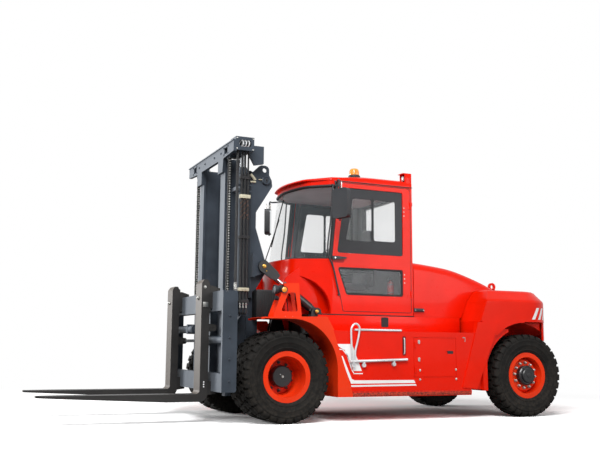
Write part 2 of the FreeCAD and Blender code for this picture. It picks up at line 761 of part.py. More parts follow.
def make_locker_door():
    """Flush door of the tool compartment, hinged on its front edge."""
    door = Piece("side_box_door")
    outer = d.body_half
    door.pad("side", [
        (-d.locker_front, d.locker_bottom, 10), (-d.locker_front, d.locker_top, 10),
        (-d.locker_rear, d.locker_top, 10), (-d.locker_rear, d.locker_bottom, 10),
    ], outer - d.door_skin, outer)
    pull_rear = -(d.locker_rear - 65)
    pull_low = 826
    door.pocket("side", [
        (pull_rear, pull_low, 12), (pull_rear, pull_low + 36, 12),
        (pull_rear + 85, pull_low + 36, 12), (pull_rear + 85, pull_low, 12),
    ], outer - 8, outer + 1)
    for height in (d.locker_bottom + 90, d.locker_top - 90):
        door.boss("plan", -d.locker_front - 12, outer + 8, 10, height - 35, height + 35)


make_locker_door()


def fender_skin(x):
    """Height of a fender's flat top at a distance ahead of the drive axle."""
    front = d.fender_tip - 150
    rear = -(d.box_front - 86)
    return d.fender_top + (front - x) / (front - rear) * 20


def beside_box(gap):
    """Side view of the space that a side box takes behind a fender, and a gap."""
    return [
        (-(d.box_front - gap), d.box_top + gap), (-(d.box_front + 285 - gap), d.box_bottom - 5),
        (-(d.box_front + 900), d.box_bottom - 5), (-(d.box_front + 900), d.box_top + gap),
    ]


def make_fenders():
    """Fender over each dual wheel with the sloping leg behind it."""
    fender = Piece("front_fenders")
    rim = d.fender_top - 12
    for side in SIDES.values():
        low, high = mirrored(d.fender_inner, d.body_half + 10, side)
        fender.pad("side", [
            (d.fender_tip, d.fender_top - 45), (d.fender_tip - 150, d.fender_top, 60),
            (-(d.box_front - 86), d.fender_top + 20, 30),
            (-(d.box_front + 5), d.box_top + 12), (-(d.box_front + 290), d.box_bottom),
            (-(d.box_front + 60), d.box_bottom),
            (-(d.box_front + 50), rim, d.arch_radius), (d.fender_tip - 170, rim - 5),
            (d.fender_tip, d.fender_top - 60),
        ], low, high)
        # the side box behind the leg, with a seam that shows outside
        fender.pocket("side", beside_box(d.seat_gap), low, high)
        low, high = mirrored(d.body_half - 20, d.body_half + 12, side)
        fender.pocket("side", beside_box(d.seam), low, high)


make_fenders()


def make_lamp_brackets():
    """A-frame plates on the fenders that carry the headlamps."""
    bracket = Piece("lamp_brackets")
    gap = d.seat_gap
    head = d.bracket_head
    plate = 12
    front, rear = 135, -235
    for side in SIDES.values():
        for start in (d.lamp_track + 70, d.lamp_track - 90):
            low, high = mirrored(start, start + plate, side)
            bracket.pad("side", [
                (front, fender_skin(front) + gap), (front, fender_skin(front) + 30),
                (10, head - 60), (-5, head), (-195, head + 8), (-200, head - 40),
                (rear, fender_skin(rear) + gap),
            ], low, high)
            bracket.pocket("side", [
                (40, d.fender_top + 76, 20), (-60, head - 110, 20), (-150, head - 110, 20),
                (-185, d.fender_top + 76, 20),
            ], low - 1, high + 1)
        low, high = mirrored(d.lamp_track - 90, d.lamp_track + 70 + plate, side)
        bracket.box(-195, -5, low, high, head - 14, head)


def add_headlamps(lamps):
    """Headlamp ahead of each bracket."""
    for side in SIDES.values():
        middle = side * d.lamp_track
        height = d.bracket_head - 75
        lamps.boss("front", middle, height, 60, 12, 80)
        lamps.boss("front", middle, height, 52, 80, 100)
        lamps.box(-30, 30, middle - 8, middle + 8, height - 35,
                  d.bracket_head - 14 - d.seat_gap)


make_lamp_brackets()


# ---------------------------------------------------------------- counterweight and hood

# middle of the vehicle to a hood hinge's knuckle
HOOD_KNUCKLE = 430


def weight_face(height):
    """Front face of the counterweight's shoulders at a height; it leans back."""
    return -(d.weight_front + 1) - (height - d.weight_seam) * 0.389


def on_top(height, half):
    """Picks the outer edges of a top face, but not those across its front."""
    def chosen(edge):
        box = edge.BoundBox
        level = plain(height)
        flat = box.ZMin > level - 1 and box.ZMax < level + 1
        across = box.XMin > -plain(d.weight_front) - 1
        return flat and not across
    return chosen


def make_counterweight():
    """Cast counterweight: shoulders, legs, wheel houses, tow pocket and lifting eyes."""
    weight = Piece("counterweight")
    front = -d.weight_front
    rear = -d.rear_reach
    half = d.weight_half
    deck = d.deck_height + d.seat_gap
    weight.pad("plan", [
        (front, -half, 60), (front, half, 60),
        (rear + 50, half, d.weight_corner), (rear, 0, 4000),
        (rear + 50, -half, d.weight_corner),
    ], deck, d.weight_top)
    weight.body.Tip = weight.fillet(d.weight_round, on_top(d.weight_top, half))
    # front face leans back above the seam
    weight.pocket("side", [
        (front + 10, d.weight_seam), (weight_face(d.weight_seam), d.weight_seam),
        (weight_face(d.weight_top + 5), d.weight_top + 5), (front + 10, d.weight_top + 5),
    ], -half - 5, half + 5)
    # recess for the hood between the shoulders
    well = d.hood_half + d.seam
    weight.slot(-(d.hood_rear + 125), front + 10, -well, well, d.hood_deck,
                d.weight_top + 5)
    for side in SIDES.values():
        low, high = mirrored(d.frame_half + d.seam, half + 5, side)
        weight.bore("side", REAR_AXLE, d.tyre_radius, d.wheelhouse_radius, low, high)
        low, high = mirrored(1050, half + 5, side)
        weight.slot(rear - 5, REAR_AXLE, low, high, deck - 1, d.weight_seam)
        low, high = mirrored(770, half, side)
        weight.pad("side", [
            (front, deck + 60), (front - 20, 350), (front - 85, 350),
            (front - 85, 850), (front - 20, deck + 60),
        ], low, high)
        low, high = mirrored(480, 1050, side)
        weight.box(rear + 20, rear + 150, low, high, deck - 80, deck + 20)
        # hinge brackets for the hood
        axis = d.hood_deck + 30
        for start in (HOOD_KNUCKLE - 30, HOOD_KNUCKLE + 40 + d.seat_gap):
            low, high = mirrored(start, start + 30 - d.seat_gap, side)
            weight.boss("side", -(d.hood_rear + 16), axis, 14, low, high)
            weight.box(-(d.hood_rear + 30), -(d.hood_rear + 6), low, high, d.hood_deck - 5, axis)
        # recess of a tail lamp
        low, high = mirrored(690, 890, side)
        weight.slot(rear - 5, rear + 128 + d.seat_gap, low, high, 1330, 1430)
    weight.box(rear, -(d.wheelbase + 455), -d.frame_half, d.frame_half, 450, deck + 20)
    weight.slot(rear - 5, rear + 110, -70, 70, 560, 680)
    weight.bore("plan", rear + 55, 0, 20 + d.pin_gap, 480, 720)
    for side in SIDES.values():
        middle = 230 * side
        low, high = middle - d.eye_wall / 2, middle + d.eye_wall / 2
        eye = -(d.hood_rear + 245)
        height = d.weight_top + 42
        weight.box(eye - d.eye_radius, eye + d.eye_radius, low, high, d.weight_top - 40,
                   height)
        weight.boss("side", eye, height, d.eye_radius, low, high)
        weight.bore("side", eye, height, d.eye_bore, low, high)


def make_tow_pin():
    """Drop pin in the tow pocket."""
    pin = Piece("tow_pin", -d.rear_reach + 55)
    pin.boss("plan", 0, 0, 20, 480.5, 700)
    pin.boss("plan", 0, 0, 17, 565, 676)


def hood_section(height, inset):
    """Cross-section of the hood: upright sides, round shoulders, a low crown."""
    half = d.hood_half - inset
    low = d.tub_height - 60
    top = height - inset
    return [
        (-half, low), (-half, top - 70, 130 - inset), (0, top, 2500), (half, top - 70, 130 - inset),
        (half, low),
    ]


def make_hood():
    """Engine hood: one shell, hinged on the counterweight, open towards the cab."""
    hood = Piece("hood")
    front = -(d.cab_rear + 15)
    rear = -d.hood_rear
    top = d.hood_front_top
    span = d.hood_rear - d.cab_rear - 15
    heights = [(0, 0), (0.3, 20), (0.58, -5), (0.8, -85), (1, -235)]
    hood.skin("front", [(front - span * share, hood_section(top + rise, 0))
                        for share, rise in heights])
    wall = d.hood_wall
    inner = [(front + 5, hood_section(top, wall))]
    inner += [(front - span * share, hood_section(top + rise, wall))
              for share, rise in heights[1:-1]]
    inner.append((rear + wall, hood_section(top + heights[-1][1] + 15, wall)))
    hood.skin("front", inner, "SubtractiveLoft")
    low = d.tub_height + d.seam
    shelf = d.hood_deck + 15
    half = d.hood_half + 5
    hood.pocket("side", [
        (front + 10, low), (weight_face(low) + 10, low), (weight_face(shelf) + 10, shelf),
        (rear - 10, shelf), (rear - 10, low - 100), (front + 10, low - 100),
    ], -half, half)
    hood.pocket("side", [
        (front + 10, low - 5), (front - 32, low - 5), (front - 26, low + 60), (front - 6, 1520),
        (front + 10, 1640),
    ], -half, half)
    for side in SIDES.values():
        low, high = mirrored(HOOD_KNUCKLE, HOOD_KNUCKLE + 40, side)
        hood.boss("side", rear - 16, d.hood_deck + 30, 14, low, high)
        hood.box(rear - 16, rear + 2, low, high, d.hood_deck + 20, d.hood_deck + 44)


make_counterweight()
make_tow_pin()
make_hood()


# --------------------------------------------------------------------------------- cab

def cab_plan(front, inset, rear_inset=0):
    """Plan of the cab at one level: straight sides and a bowed front."""
    half = d.cab_half - inset
    back = -d.cab_rear + rear_inset
    shoulder = -d.pillar_foot - inset * 0.3
    nose = -front - inset
    return [
        (back, -half), (shoulder, -half, 90), (nose - 130, -(half - 235), 190), (nose, 0, 1400),
        (nose - 130, half - 235, 190), (shoulder, half, 90), (back, half),
    ]


def door_outline(gap):
    """Side view of a door, grown by a gap."""
    foot = d.door_foot - gap
    head = d.door_head + gap
    rear = -(d.cab_rear - 30) - gap
    return [
        (rear, foot, 25), (rear, head, 25), (-(d.pillar_foot + 105) + gap, head, 30),
        (-(d.pillar_foot + 5) + gap, d.cowl_top + 20, 60),
        (-(d.pillar_foot + 150) + gap, foot + 120, 90), (-(d.pillar_foot + 170) + gap, foot, 25),
    ]


def upper_window(grow=0):
    """Side view of a door's upper window."""
    rear = -(d.cab_rear - 150) - grow
    foot = d.cowl_top + 85 - grow
    head = d.door_head - 60 + grow
    return [
        (rear, foot, 35), (rear, head, 35), (-(d.pillar_foot + 205) + grow, head, 35),
        (-(d.pillar_foot + 85) + grow, foot, 35),
    ]


def lower_window(grow=0):
    """Side view of a door's lower window."""
    rear = -(d.cab_rear - 152) - grow
    foot = d.door_foot + 210 - grow
    head = d.cowl_top - 100 + grow
    return [
        (rear, foot, 30), (rear, head, 30), (-(d.pillar_foot + 90) + grow, head, 30),
        (-(d.pillar_foot + 220) + grow, foot, 40),
    ]


# height of each door hinge above the door's foot, and of a knuckle
DOOR_HINGES = (190, 1400)
KNUCKLE = 50


def hinge_axis():
    """Plan position of the door hinges' axis, for the left side."""
    return -(d.cab_rear - 35), d.cab_half + 8


def shell_hinges(shell, side):
    """The shell's half of each door hinge."""
    x, y = hinge_axis()
    for rise in DOOR_HINGES:
        low = d.door_foot + rise + KNUCKLE + d.seat_gap
        high = low + KNUCKLE
        shell.boss("plan", x, side * y, 7.5, low, high)
        start, end = mirrored(d.cab_half - 10, d.cab_half + 7, side)
        shell.box(x - 35, x - 12, start, end, low, high)
        start, end = mirrored(d.cab_half + 0.4, d.cab_half + 7, side)
        shell.box(x - 13, x, start, end, low, high)


def make_cab_shell():
    """Cowl, floor, pillars and rear wall as one welded shell."""
    shell = Piece("cab_shell")
    wall = d.cab_wall
    low = d.cab_floor
    sill = d.cowl_top
    top = d.shell_top
    lean = d.glass_front + d.glass_lean
    shell.loft(cab_plan(d.nose_front, 0), cab_plan(d.nose_front + 45, 0), low, sill)
    shell.loft(cab_plan(d.glass_front, 4), cab_plan(lean, 4), sill - 1, top)
    shell.loft(cab_plan(d.nose_front, wall, wall), cab_plan(d.nose_front + 45, wall, wall),
               low + wall, sill - 40, "SubtractiveLoft")
    shell.loft(cab_plan(d.glass_front, wall + 4, wall), cab_plan(lean, wall + 4, wall),
               sill - 41, top + 1, "SubtractiveLoft")
    pillar = d.pillar_foot - 8
    shell.pocket("side", [
        (-pillar, sill), (-(pillar + 90), top - 70), (10, top - 70), (10, sill),
    ], -d.cab_half - 5, d.cab_half + 5)
    shell.pocket("front", [
        (-560, sill + 110, 50), (560, sill + 110, 50), (560, top - 110, 50), (-560, top - 110, 50),
    ], -(d.cab_rear + 5), -(d.cab_rear - wall - 5))
    for side in SIDES.values():
        start, end = mirrored(d.cab_half - wall - 20, d.cab_half + 10, side)
        shell.pocket("side", door_outline(d.seam), start, end)
        # recess over the tilt cylinder
        start, end = mirrored(d.cowl_recess_half, d.cab_half + 10, side)
        shell.bore("side", -330, 1360, d.cowl_recess, start, end)
        start, end = mirrored(d.cowl_recess_half - 30, d.cowl_recess_half + 5, side)
        shell.pad("side", [
            (-d.nose_front - 60, low + 1), (-d.nose_front - 60, sill - 260), (-420, sill - 120),
            (-900, sill - 260), (-900, low + 1),
        ], start, end)
        shell_hinges(shell, side)


make_cab_shell()


def make_windscreen():
    """Wrap-round windscreen between the cowl and the header."""
    glass = Piece("cab_glass")
    lean = d.glass_front + d.glass_lean
    sill = d.cowl_top
    top = d.shell_top
    outer = 10
    inner = outer + d.glass_wall
    glass.loft(cab_plan(d.glass_front, outer), cab_plan(lean, outer), sill - 1, top)
    glass.loft(cab_plan(d.glass_front, inner, -5), cab_plan(lean, inner, -5), sill - 1, top,
               "SubtractiveLoft")
    half = d.cab_half + 10
    glass.slot(-(d.cab_rear + 10), 0, -half, half, top - 70 - d.seat_gap, top + 5)
    glass.slot(-(d.cab_rear + 10), 0, -half, half, sill - 5, sill + d.seat_gap)
    pillar = d.pillar_foot - 10
    glass.pocket("side", [
        (-pillar, sill - 5), (-(pillar + 98), top + 5), (-(d.cab_rear + 10), top + 5),
        (-(d.cab_rear + 10), sill - 5),
    ], -half, half)
    return glass


def make_rear_window(glass):
    """Rear window in the cab's rear wall."""
    gap = d.seat_gap
    low = d.cowl_top + 110 + gap
    high = d.shell_top - 110 - gap
    middle = -(d.cab_rear - d.cab_wall / 2)
    glass.pad("front", [
        (-560 + gap, low, 50), (560 - gap, low, 50), (560 - gap, high, 50), (-560 + gap, high, 50),
    ], middle, middle + d.glass_wall)


def make_roof():
    """Roof panel that thins towards its rounded front."""
    roof = Piece("cab_roof")
    low = d.shell_top + d.seat_gap
    lean = d.glass_front + d.glass_lean - 45
    back = -(d.cab_rear + 5)
    half = d.cab_half
    top = d.roof_top
    roof.pad("plan", [
        (back, -half, 20), (-d.pillar_foot, -half, 90), (-lean - 130, -(half - 235), 190),
        (-lean, 0, 1400), (-lean - 130, half - 235, 190), (-d.pillar_foot, half, 90),
        (back, half, 20),
    ], low, top)
    roof.pocket("side", [
        (back - 5, top - 18), (-1300, top - 25, 900), (-720, top - 90, 700), (-lean + 20, low + 24),
        (-lean + 20, top + 10), (back - 5, top + 10),
    ], -half - 5, half + 5)


make_rear_window(make_windscreen())
make_roof()


def make_door(side, name):
    """Cab door with two windows, and its glass."""
    door = Piece("cab_door_%s" % name)
    start, end = mirrored(d.cab_half - d.cab_wall, d.cab_half, side)
    door.pad("side", door_outline(0), start, end)
    door.pocket("side", upper_window(), start, end)
    door.pocket("side", lower_window(), start, end)
    low, high = mirrored(d.cab_half - 2, d.cab_half + 14, side)
    x, y = hinge_axis()
    start, end = mirrored(d.cab_half - 1, d.cab_half + 7, side)
    for rise in DOOR_HINGES:
        height = d.door_foot + rise
        door.boss("plan", x, side * y, 7.5, height, height + KNUCKLE)
        door.box(x, x + 45, start, end, height, height + KNUCKLE)
    door.box(-(d.pillar_foot + 130), -(d.pillar_foot + 30), low, high, d.cowl_top + 2,
             d.cowl_top + 24)
    panes = Piece("door_glass_%s" % name)
    middle = d.cab_half - d.cab_wall / 2
    low, high = mirrored(middle, middle + d.glass_wall, side)
    panes.pad("side", upper_window(-d.seat_gap), low, high)
    panes.pad("side", lower_window(-d.seat_gap), low, high)


for name, side in SIDES.items():
    make_door(side, name)


# lean of the steering wheel in degrees
WHEEL_LEAN = 28


def make_cab_interior():
    """Seat, console, steering column and wheel."""
    floor = d.cab_floor + d.cab_wall + d.seat_gap
    seat = Piece("operator_seat")
    seat.box(-1580, -1180, -210, 210, floor, floor + 300)
    seat.pad("side", [
        (-1640, floor + 300), (-1110, floor + 300), (-1100, floor + 400, 50),
        (-1560, floor + 410, 40), (-1680, floor + 1000, 60), (-1790, floor + 990, 60),
        (-1690, floor + 330, 60),
    ], -255, 255)
    console = Piece("cab_consoles")
    console.box(-640, -430, -140, 140, floor, floor + 120)
    console.pad("side", [
        (-640, floor + 115), (-430, floor + 115), (-560, floor + 575, 30),
        (-690, floor + 575 - 130 * math.tan(math.radians(WHEEL_LEAN)), 30),
    ], -110, 110)
    console.pad("side", [
        (-1750, floor), (-1050, floor), (-1000, floor + 480, 60), (-1400, floor + 560, 60),
        (-1750, floor + 560, 40),
    ], -620, -330)
    wheel = Piece("steering_wheel", -660, 0, floor + 640)
    ring = 190
    wheel.turn("side", [
        (ring - 15, -15, 12), (ring + 15, -15, 12), (ring + 15, 15, 12), (ring - 15, 15, 12),
    ], "z")
    wheel.boss("plan", 0, 0, 30, -104, 10)
    for angle in (0, 120, 240):
        turn = math.radians(angle)
        reach = (ring - 8) * math.cos(turn), (ring - 8) * math.sin(turn)
        nudge = 14 * math.sin(turn), -14 * math.cos(turn)
        wheel.pad("plan", [
            (nudge[0], nudge[1]), (reach[0] + nudge[0], reach[1] + nudge[1]),
            (reach[0] - nudge[0], reach[1] - nudge[1]), (-nudge[0], -nudge[1]),
        ], -8, 8)
    wheel.body.Placement.Rotation = FreeCAD.Rotation(Vector(0, 1, 0), -WHEEL_LEAN)


make_cab_interior()


def make_mirrors():
    """Mirror and its arm on each side of the cab."""
    mirrors = Piece("mirrors")
    x = -d.pillar_foot + 15
    for side in SIDES.values():
        low, high = mirrored(1010, 1210, side)
        mirrors.pad("plan", [
            (x - 45, low, 20), (x - 45, high, 20), (x + 35, high, 30), (x + 35, low, 30),
        ], 2590, 2930)
        low, high = mirrored(1085, 1113, side)
        mirrors.box(x - 20, x + 8, low, high, 2925, d.shell_top + 40)
        low, high = mirrored(d.cab_half + 5, 1113, side)
        mirrors.box(x - 20, x + 8, low, high, d.shell_top + 15, d.shell_top + 43)
        low, high = mirrored(d.cab_half + d.seat_gap, d.cab_half + 10, side)
        mirrors.box(x - 110, x + 8, low, high, d.shell_top + 15, d.shell_top + 43)


def make_lamps():
    """Beacon, headlamps, rear work lamps and tail lamps."""
    lamps = Piece("lamps")
    base = d.roof_top - 24 + d.seat_gap
    lamps.boss("plan", -d.beacon_x, d.beacon_y, 62, base, base + 22)
    lamps.boss("plan", -d.beacon_x, d.beacon_y, 52, base + 22, base + 105)
    add_headlamps(lamps)
    back = -(d.cab_rear - 5)
    top = d.roof_top - 18 + d.seat_gap
    for side in SIDES.values():
        low, high = mirrored(d.cab_half - 62, d.cab_half - 2, side)
        lamps.box(back, back + 14, low, high, top, top + 120)
        lamps.boss("front", side * (d.cab_half - 32), top + 68, 28, back + 14, back + 75)
        low, high = mirrored(700, 880, side)
        lamps.box(-d.rear_reach + 120, -d.rear_reach + 128, low, high, 1340, 1420)


make_mirrors()
make_lamps()


def bar_between(piece, start, end, radius):
    """A round bar between two points, added to the body by a tilted sketch."""
    axis = Vector(*[plain(e) - plain(s) for s, e in zip(start, end)])
    sketch = piece.circle("plan", 0, 0, radius)
    turn = FreeCAD.Rotation(Vector(0, 0, 1), axis)
    spot = Vector(*[plain(value) for value in start])
    sketch.AttachmentOffset = FreeCAD.Placement(spot, turn)
    sketch.setExpression("AttachmentOffset.Base.z", None)
    for name, value in zip("xyz", start):
        bind(sketch, "AttachmentOffset.Base.%s" % name, value)
    return piece.extrude("Pad", "plan", sketch, axis.Length)


def make_step_rails():
    """Handrail, step bar and tread bar on each side box."""
    rails = Piece("step_rails")
    outer = d.body_half
    top = d.box_top
    for side in SIDES.values():
        y = side * (outer + 26)
        wall = side * (outer + d.seat_gap)
        post = -(d.box_front + 260)
        bar_between(rails, (post, y, 430), (post - 20, y, top + 60), 12)
        bar_between(rails, (post - 20, y, top + 50), (post - 60, side * (outer - 60), top + 50),
                    12)
        bar_between(rails, (post - 60, side * (outer - 60), top + 55),
                    (post - 60, side * (outer - 60), top + d.seat_gap), 12)
        bar_between(rails, (post, y, 640), (post - 760, y, 655), 13)
        for x in (-80, -530, -740):
            start, end = mirrored(outer + d.seat_gap, outer + 30, side)
            rails.box(post + x - 14, post + x + 14, start, end, 615, 665)
        start, end = mirrored(outer - 30, outer + 14, side)
        rails.box(post - 700, post - 30, start, end, top + d.seat_gap, top + 24)
        start, end = mirrored(outer + d.seat_gap, outer + 30, side)
        rails.box(post - 14, post + 14, start, end, 430, 470)


make_step_rails()


# -------------------------------------------------------------------------- outer mast

def channel(front, rear, outside, flange, wall, side):
    """Plan of a rail that opens towards the middle of the vehicle."""
    lip = outside - flange
    web = outside - wall
    outline = [
        (rear, outside), (front, outside), (front, lip), (front - wall, lip),
        (front - wall, web), (rear + wall, web), (rear + wall, lip), (rear, lip),
    ]
    return [(x, y * side) for x, y in outline]


def mast_eye():
    """Centre of a mast lifting eye in the side view."""
    return d.mast_eye_x, d.outer_head + 5


def side_plate():
    """Side view of a mast side plate: lifting eye, chain boss, neck and tilt pin."""
    front = d.outer_rear + d.rail_wall
    eye_x, eye_z = mast_eye()
    return [
        (front, 1560), (front, d.outer_head - 50), (eye_x + 60, eye_z + 60, 58),
        (eye_x - 60, eye_z + 60, 58), (eye_x - 60, eye_z - 60, 20), (5, eye_z - 125, 30),
        (-5, eye_z - 205, 25), (front - 67, 2580), (front - 67, 2380),
        (d.tilt_eye_x - 62, d.tilt_eye_z + 75, 40), (d.tilt_eye_x - 75, d.tilt_eye_z - 55, 40),
        (front - 75, 1600),
    ]


def make_outer_mast():
    """Outer stage: channel rails, ties and pivot lugs."""
    mast = Piece("outer_mast")
    wall = d.rail_wall
    half = d.outer_half
    rear = d.outer_rear
    for side in SIDES.values():
        mast.pad("plan", channel(d.outer_front, rear, half, d.outer_flange, wall, side),
                 d.outer_foot, d.outer_head)
    tie = d.outer_tie_rear
    for low, high in ((d.outer_foot, d.outer_foot + 100), (1450, 1560), (2050, 2130),
                      (d.outer_head - 130, d.outer_head - 10)):
        mast.box(tie, rear, -half, half, low, high)
    for side in SIDES.values():
        low, high = mirrored(half - d.outer_flange, half - d.outer_flange + 40, side)
        mast.boss("side", d.pivot_x, d.pivot_z, 65, low, high)
        mast.box(d.pivot_x, rear, low, high, d.pivot_z - 65, d.pivot_z + 65)
        mast.bore("side", d.pivot_x, d.pivot_z, d.pivot_radius + d.pin_gap, low, high)


def make_mast_plates():
    """Side plates of the outer stage, with the lifting eyes and the tilt rods' pins."""
    plates = Piece("mast_side_plates")
    wall = d.rail_wall
    rear = d.outer_rear
    for side in SIDES.values():
        # wide rear flange and the plate welded to it
        plate_low = d.lug_track - d.lug_wall / 2
        plate_high = d.lug_track + d.lug_wall / 2
        low, high = mirrored(d.outer_half + d.seat_gap, plate_high, side)
        plates.box(rear, rear + wall, low, high, 1500, d.outer_head - 50)
        low, high = mirrored(plate_low, plate_high, side)
        plates.pad("side", side_plate(), low, high)
        eye_x, eye_z = mast_eye()
        plates.bore("side", eye_x, eye_z, d.mast_eye_bore, low, high)
        plates.boss("side", 85, eye_z - 135, 45, *mirrored(plate_low, plate_high + 18, side))
        # second plate and pin for the tilt rod's eye
        outer_plate = d.tilt_track * 2 - plate_high
        low, high = mirrored(outer_plate, outer_plate + d.lug_wall, side)
        plates.pad("side", [
            (rear + wall, d.tilt_eye_z - 135), (rear + wall, d.tilt_eye_z + 165),
            (d.tilt_eye_x - 62, d.tilt_eye_z + 70, 40), (d.tilt_eye_x - 70, d.tilt_eye_z - 60, 40),
        ], low, high)
        low, high = mirrored(plate_high - 1, outer_plate + d.lug_wall, side)
        plates.box(rear, rear + wall, low, high, d.tilt_eye_z - 135, d.tilt_eye_z + 165)
        low, high = mirrored(plate_low, outer_plate + d.lug_wall + 8, side)
        plates.boss("side", d.tilt_eye_x, d.tilt_eye_z, d.tilt_pin, low, high)


def make_cylinder_brackets():
    """Foot shelf with its gusset and the upper clamp of each lift cylinder."""
    brackets = Piece("cylinder_brackets")
    reach = d.lift_track + d.lift_barrel + 10
    foot = d.outer_half + d.seat_gap
    back = d.lift_x - d.lift_barrel - 3
    ahead = d.lift_x + d.lift_barrel + 3
    for side in SIDES.values():
        low, high = mirrored(foot, reach, side)
        brackets.box(back, ahead, low, high, d.lift_foot - 60, d.lift_foot)
        brackets.pad("front", [
            (side * foot, d.lift_foot - 200), (side * reach, d.lift_foot - 59),
            (side * foot, d.lift_foot - 59),
        ], d.lift_x - 15, d.lift_x + 15)
        brackets.box(back, ahead, low, high, d.clamp_foot, d.clamp_foot + 45)
        brackets.bore("plan", d.lift_x, side * d.lift_track, d.lift_barrel + d.seat_gap,
                      d.clamp_foot, d.clamp_foot + 45)


def make_lift_cylinders():
    """Lift cylinder barrels, bored for their rods, with a gland at the neck."""
    barrels = Piece("lift_cylinders")
    foot = d.lift_foot + d.seat_gap
    for side in SIDES.values():
        y = side * d.lift_track
        barrels.boss("plan", d.lift_x, y, d.lift_barrel, foot, d.lift_neck)
        barrels.boss("plan", d.lift_x, y, d.lift_barrel - 8, d.lift_neck, d.lift_neck + 25)
        barrels.bore("plan", d.lift_x, y, d.lift_rod + d.pin_gap, foot + 60, d.lift_neck + 25)


make_cylinder_brackets()
make_outer_mast()
make_mast_plates()
make_lift_cylinders()


# -------------------------------------------------------------------------- inner mast

HEAD_FOOT = d.inner_head - 30
LIFT_SHELF = d.inner_head + 5
CHAIN_ANCHOR = d.carriage_top - 45
# each fixed hose's place behind or ahead of the lift cylinder
HOSE_BACKS = (-35, 5, 45)


def inner_rail(side):
    """Plan of an inner rail: its front flange laps over the outer rail."""
    web = d.inner_gauge + 45
    skin = web + d.rail_wall
    wall = d.rail_wall
    outline = [
        (d.inner_rear, d.inner_gauge), (d.inner_rear + wall, d.inner_gauge),
        (d.inner_rear + wall, web), (d.inner_front - wall, web),
        (d.inner_front - wall, d.inner_gauge), (d.inner_front, d.inner_gauge),
        (d.inner_front, d.inner_lip), (d.inner_front - wall, d.inner_lip),
        (d.inner_front - wall, skin), (d.inner_rear, skin),
    ]
    return [(x, y * side) for x, y in outline]


def make_inner_mast():
    """Inner stage: rails, ties, rollers, head beam and the sheave housings."""
    mast = Piece("inner_mast")
    web = d.inner_gauge + 45
    wall = d.rail_wall
    middle = (d.outer_front + d.outer_rear) / 2
    for side in SIDES.values():
        mast.pad("plan", inner_rail(side), d.inner_foot, d.inner_head)
        low, high = mirrored(web + wall - 1, d.outer_half - d.rail_wall - 5, side)
        mast.boss("side", middle, d.inner_foot + d.roller_radius + 10, d.roller_radius, low, high)
    tie = d.inner_tie_rear
    for low, high in ((d.inner_foot + 20, d.inner_foot + 110), (1900, 1980),
                      (d.inner_head - 120, d.inner_head)):
        mast.box(tie, d.inner_rear, -web, web, low, high)
    head_beam(mast)
    for side in SIDES.values():
        sheave_bracket(mast, side)
        low, high = mirrored(d.lift_track - 60, d.lift_track + 75, side)
        mast.box(d.lift_x - 65, d.inner_front + 1, low, high, LIFT_SHELF, LIFT_SHELF + 35)
    hose_box(mast)


def head_beam(mast):
    """Wide beam across the rails' heads, with windows at the sheaves and sloping ends."""
    front = d.inner_front + 40
    half = d.head_half
    foot = HEAD_FOOT
    mast.pad("front", [
        (-half, foot + 20), (-half, d.head_top), (half, d.head_top), (half, foot + 20),
        (d.inner_lip + 30, foot), (d.inner_lip, foot - 170), (d.inner_gauge, foot - 170),
        (d.inner_gauge, foot), (-d.inner_gauge, foot), (-d.inner_gauge, foot - 170),
        (-d.inner_lip, foot - 170), (-(d.inner_lip + 30), foot),
    ], d.inner_front - 1, front)
    mast.box(d.inner_front - 40, front + 12, -half, half, d.head_top, d.head_top + 12)
    for side in SIDES.values():
        low, high = mirrored(d.chain_track - 58, d.chain_track + 62, side)
        mast.pocket("front", [(low, foot + 40), (high, foot + 40), (high, foot + 120),
                              (low, foot + 120)], d.inner_front - 5, front + 5)


def sheave_bracket(mast, side):
    """Two cheeks behind the beam that carry a chain sheave's pin."""
    cheek = 20
    inside = d.chain_width / 2 + 10
    sheave_x = d.chain_x - d.sheave_radius
    for start in (d.chain_track - inside - cheek, d.chain_track + inside):
        low, high = mirrored(start, start + cheek, side)
        mast.pad("side", [
            (sheave_x - 60, d.sheave_z - 55, 30), (d.inner_front + 1, d.sheave_z - 75),
            (d.inner_front + 1, d.head_top + 5), (sheave_x - 60, d.head_top + 5, 40),
        ], low, high)
        mast.bore("side", sheave_x, d.sheave_z, 20 + d.seat_gap, low, high)


def hose_box(mast):
    """Housing of the hose sheaves on the left end, open below and in its sides."""
    low = d.head_half - 202
    high = d.head_half
    rear = d.lift_x - 79
    foot = LIFT_SHELF
    top = d.head_top + 55
    mast.box(rear, d.inner_front + 10, low, high, foot, top)
    mast.slot(rear + 12, d.inner_front - 2, low + 12, high - 12, foot - 1, top - 12)
    mast.pocket("side", [
        (rear + 35, foot + 45, 42), (rear + 35, top - 38, 42),
        (d.inner_front - 30, top - 38, 42), (d.inner_front - 30, foot + 45, 42),
    ], high - 15, high + 5)
    mast.box(d.lift_x - 65, d.inner_front + 1, low, d.lift_track + 75, LIFT_SHELF,
             LIFT_SHELF + 35)
    mast.pad("side", [
        (rear + 1, d.head_top - 2), (rear + 1, foot - 20), (rear - 70, foot - 135),
        (rear - 190, foot - 110), (rear - 190, d.head_top - 2),
    ], low, low + 45)
    mast.boss("side", (rear + d.inner_front) / 2, d.sheave_z + 60, 14, low + 1, high - 1)


def make_lift_rods():
    """Lift rods, seated under the head shelves."""
    rods = Piece("lift_rods")
    for side in SIDES.values():
        rods.boss("plan", d.lift_x, side * d.lift_track, d.lift_rod, d.lift_foot + 300,
                  LIFT_SHELF - d.seat_gap)


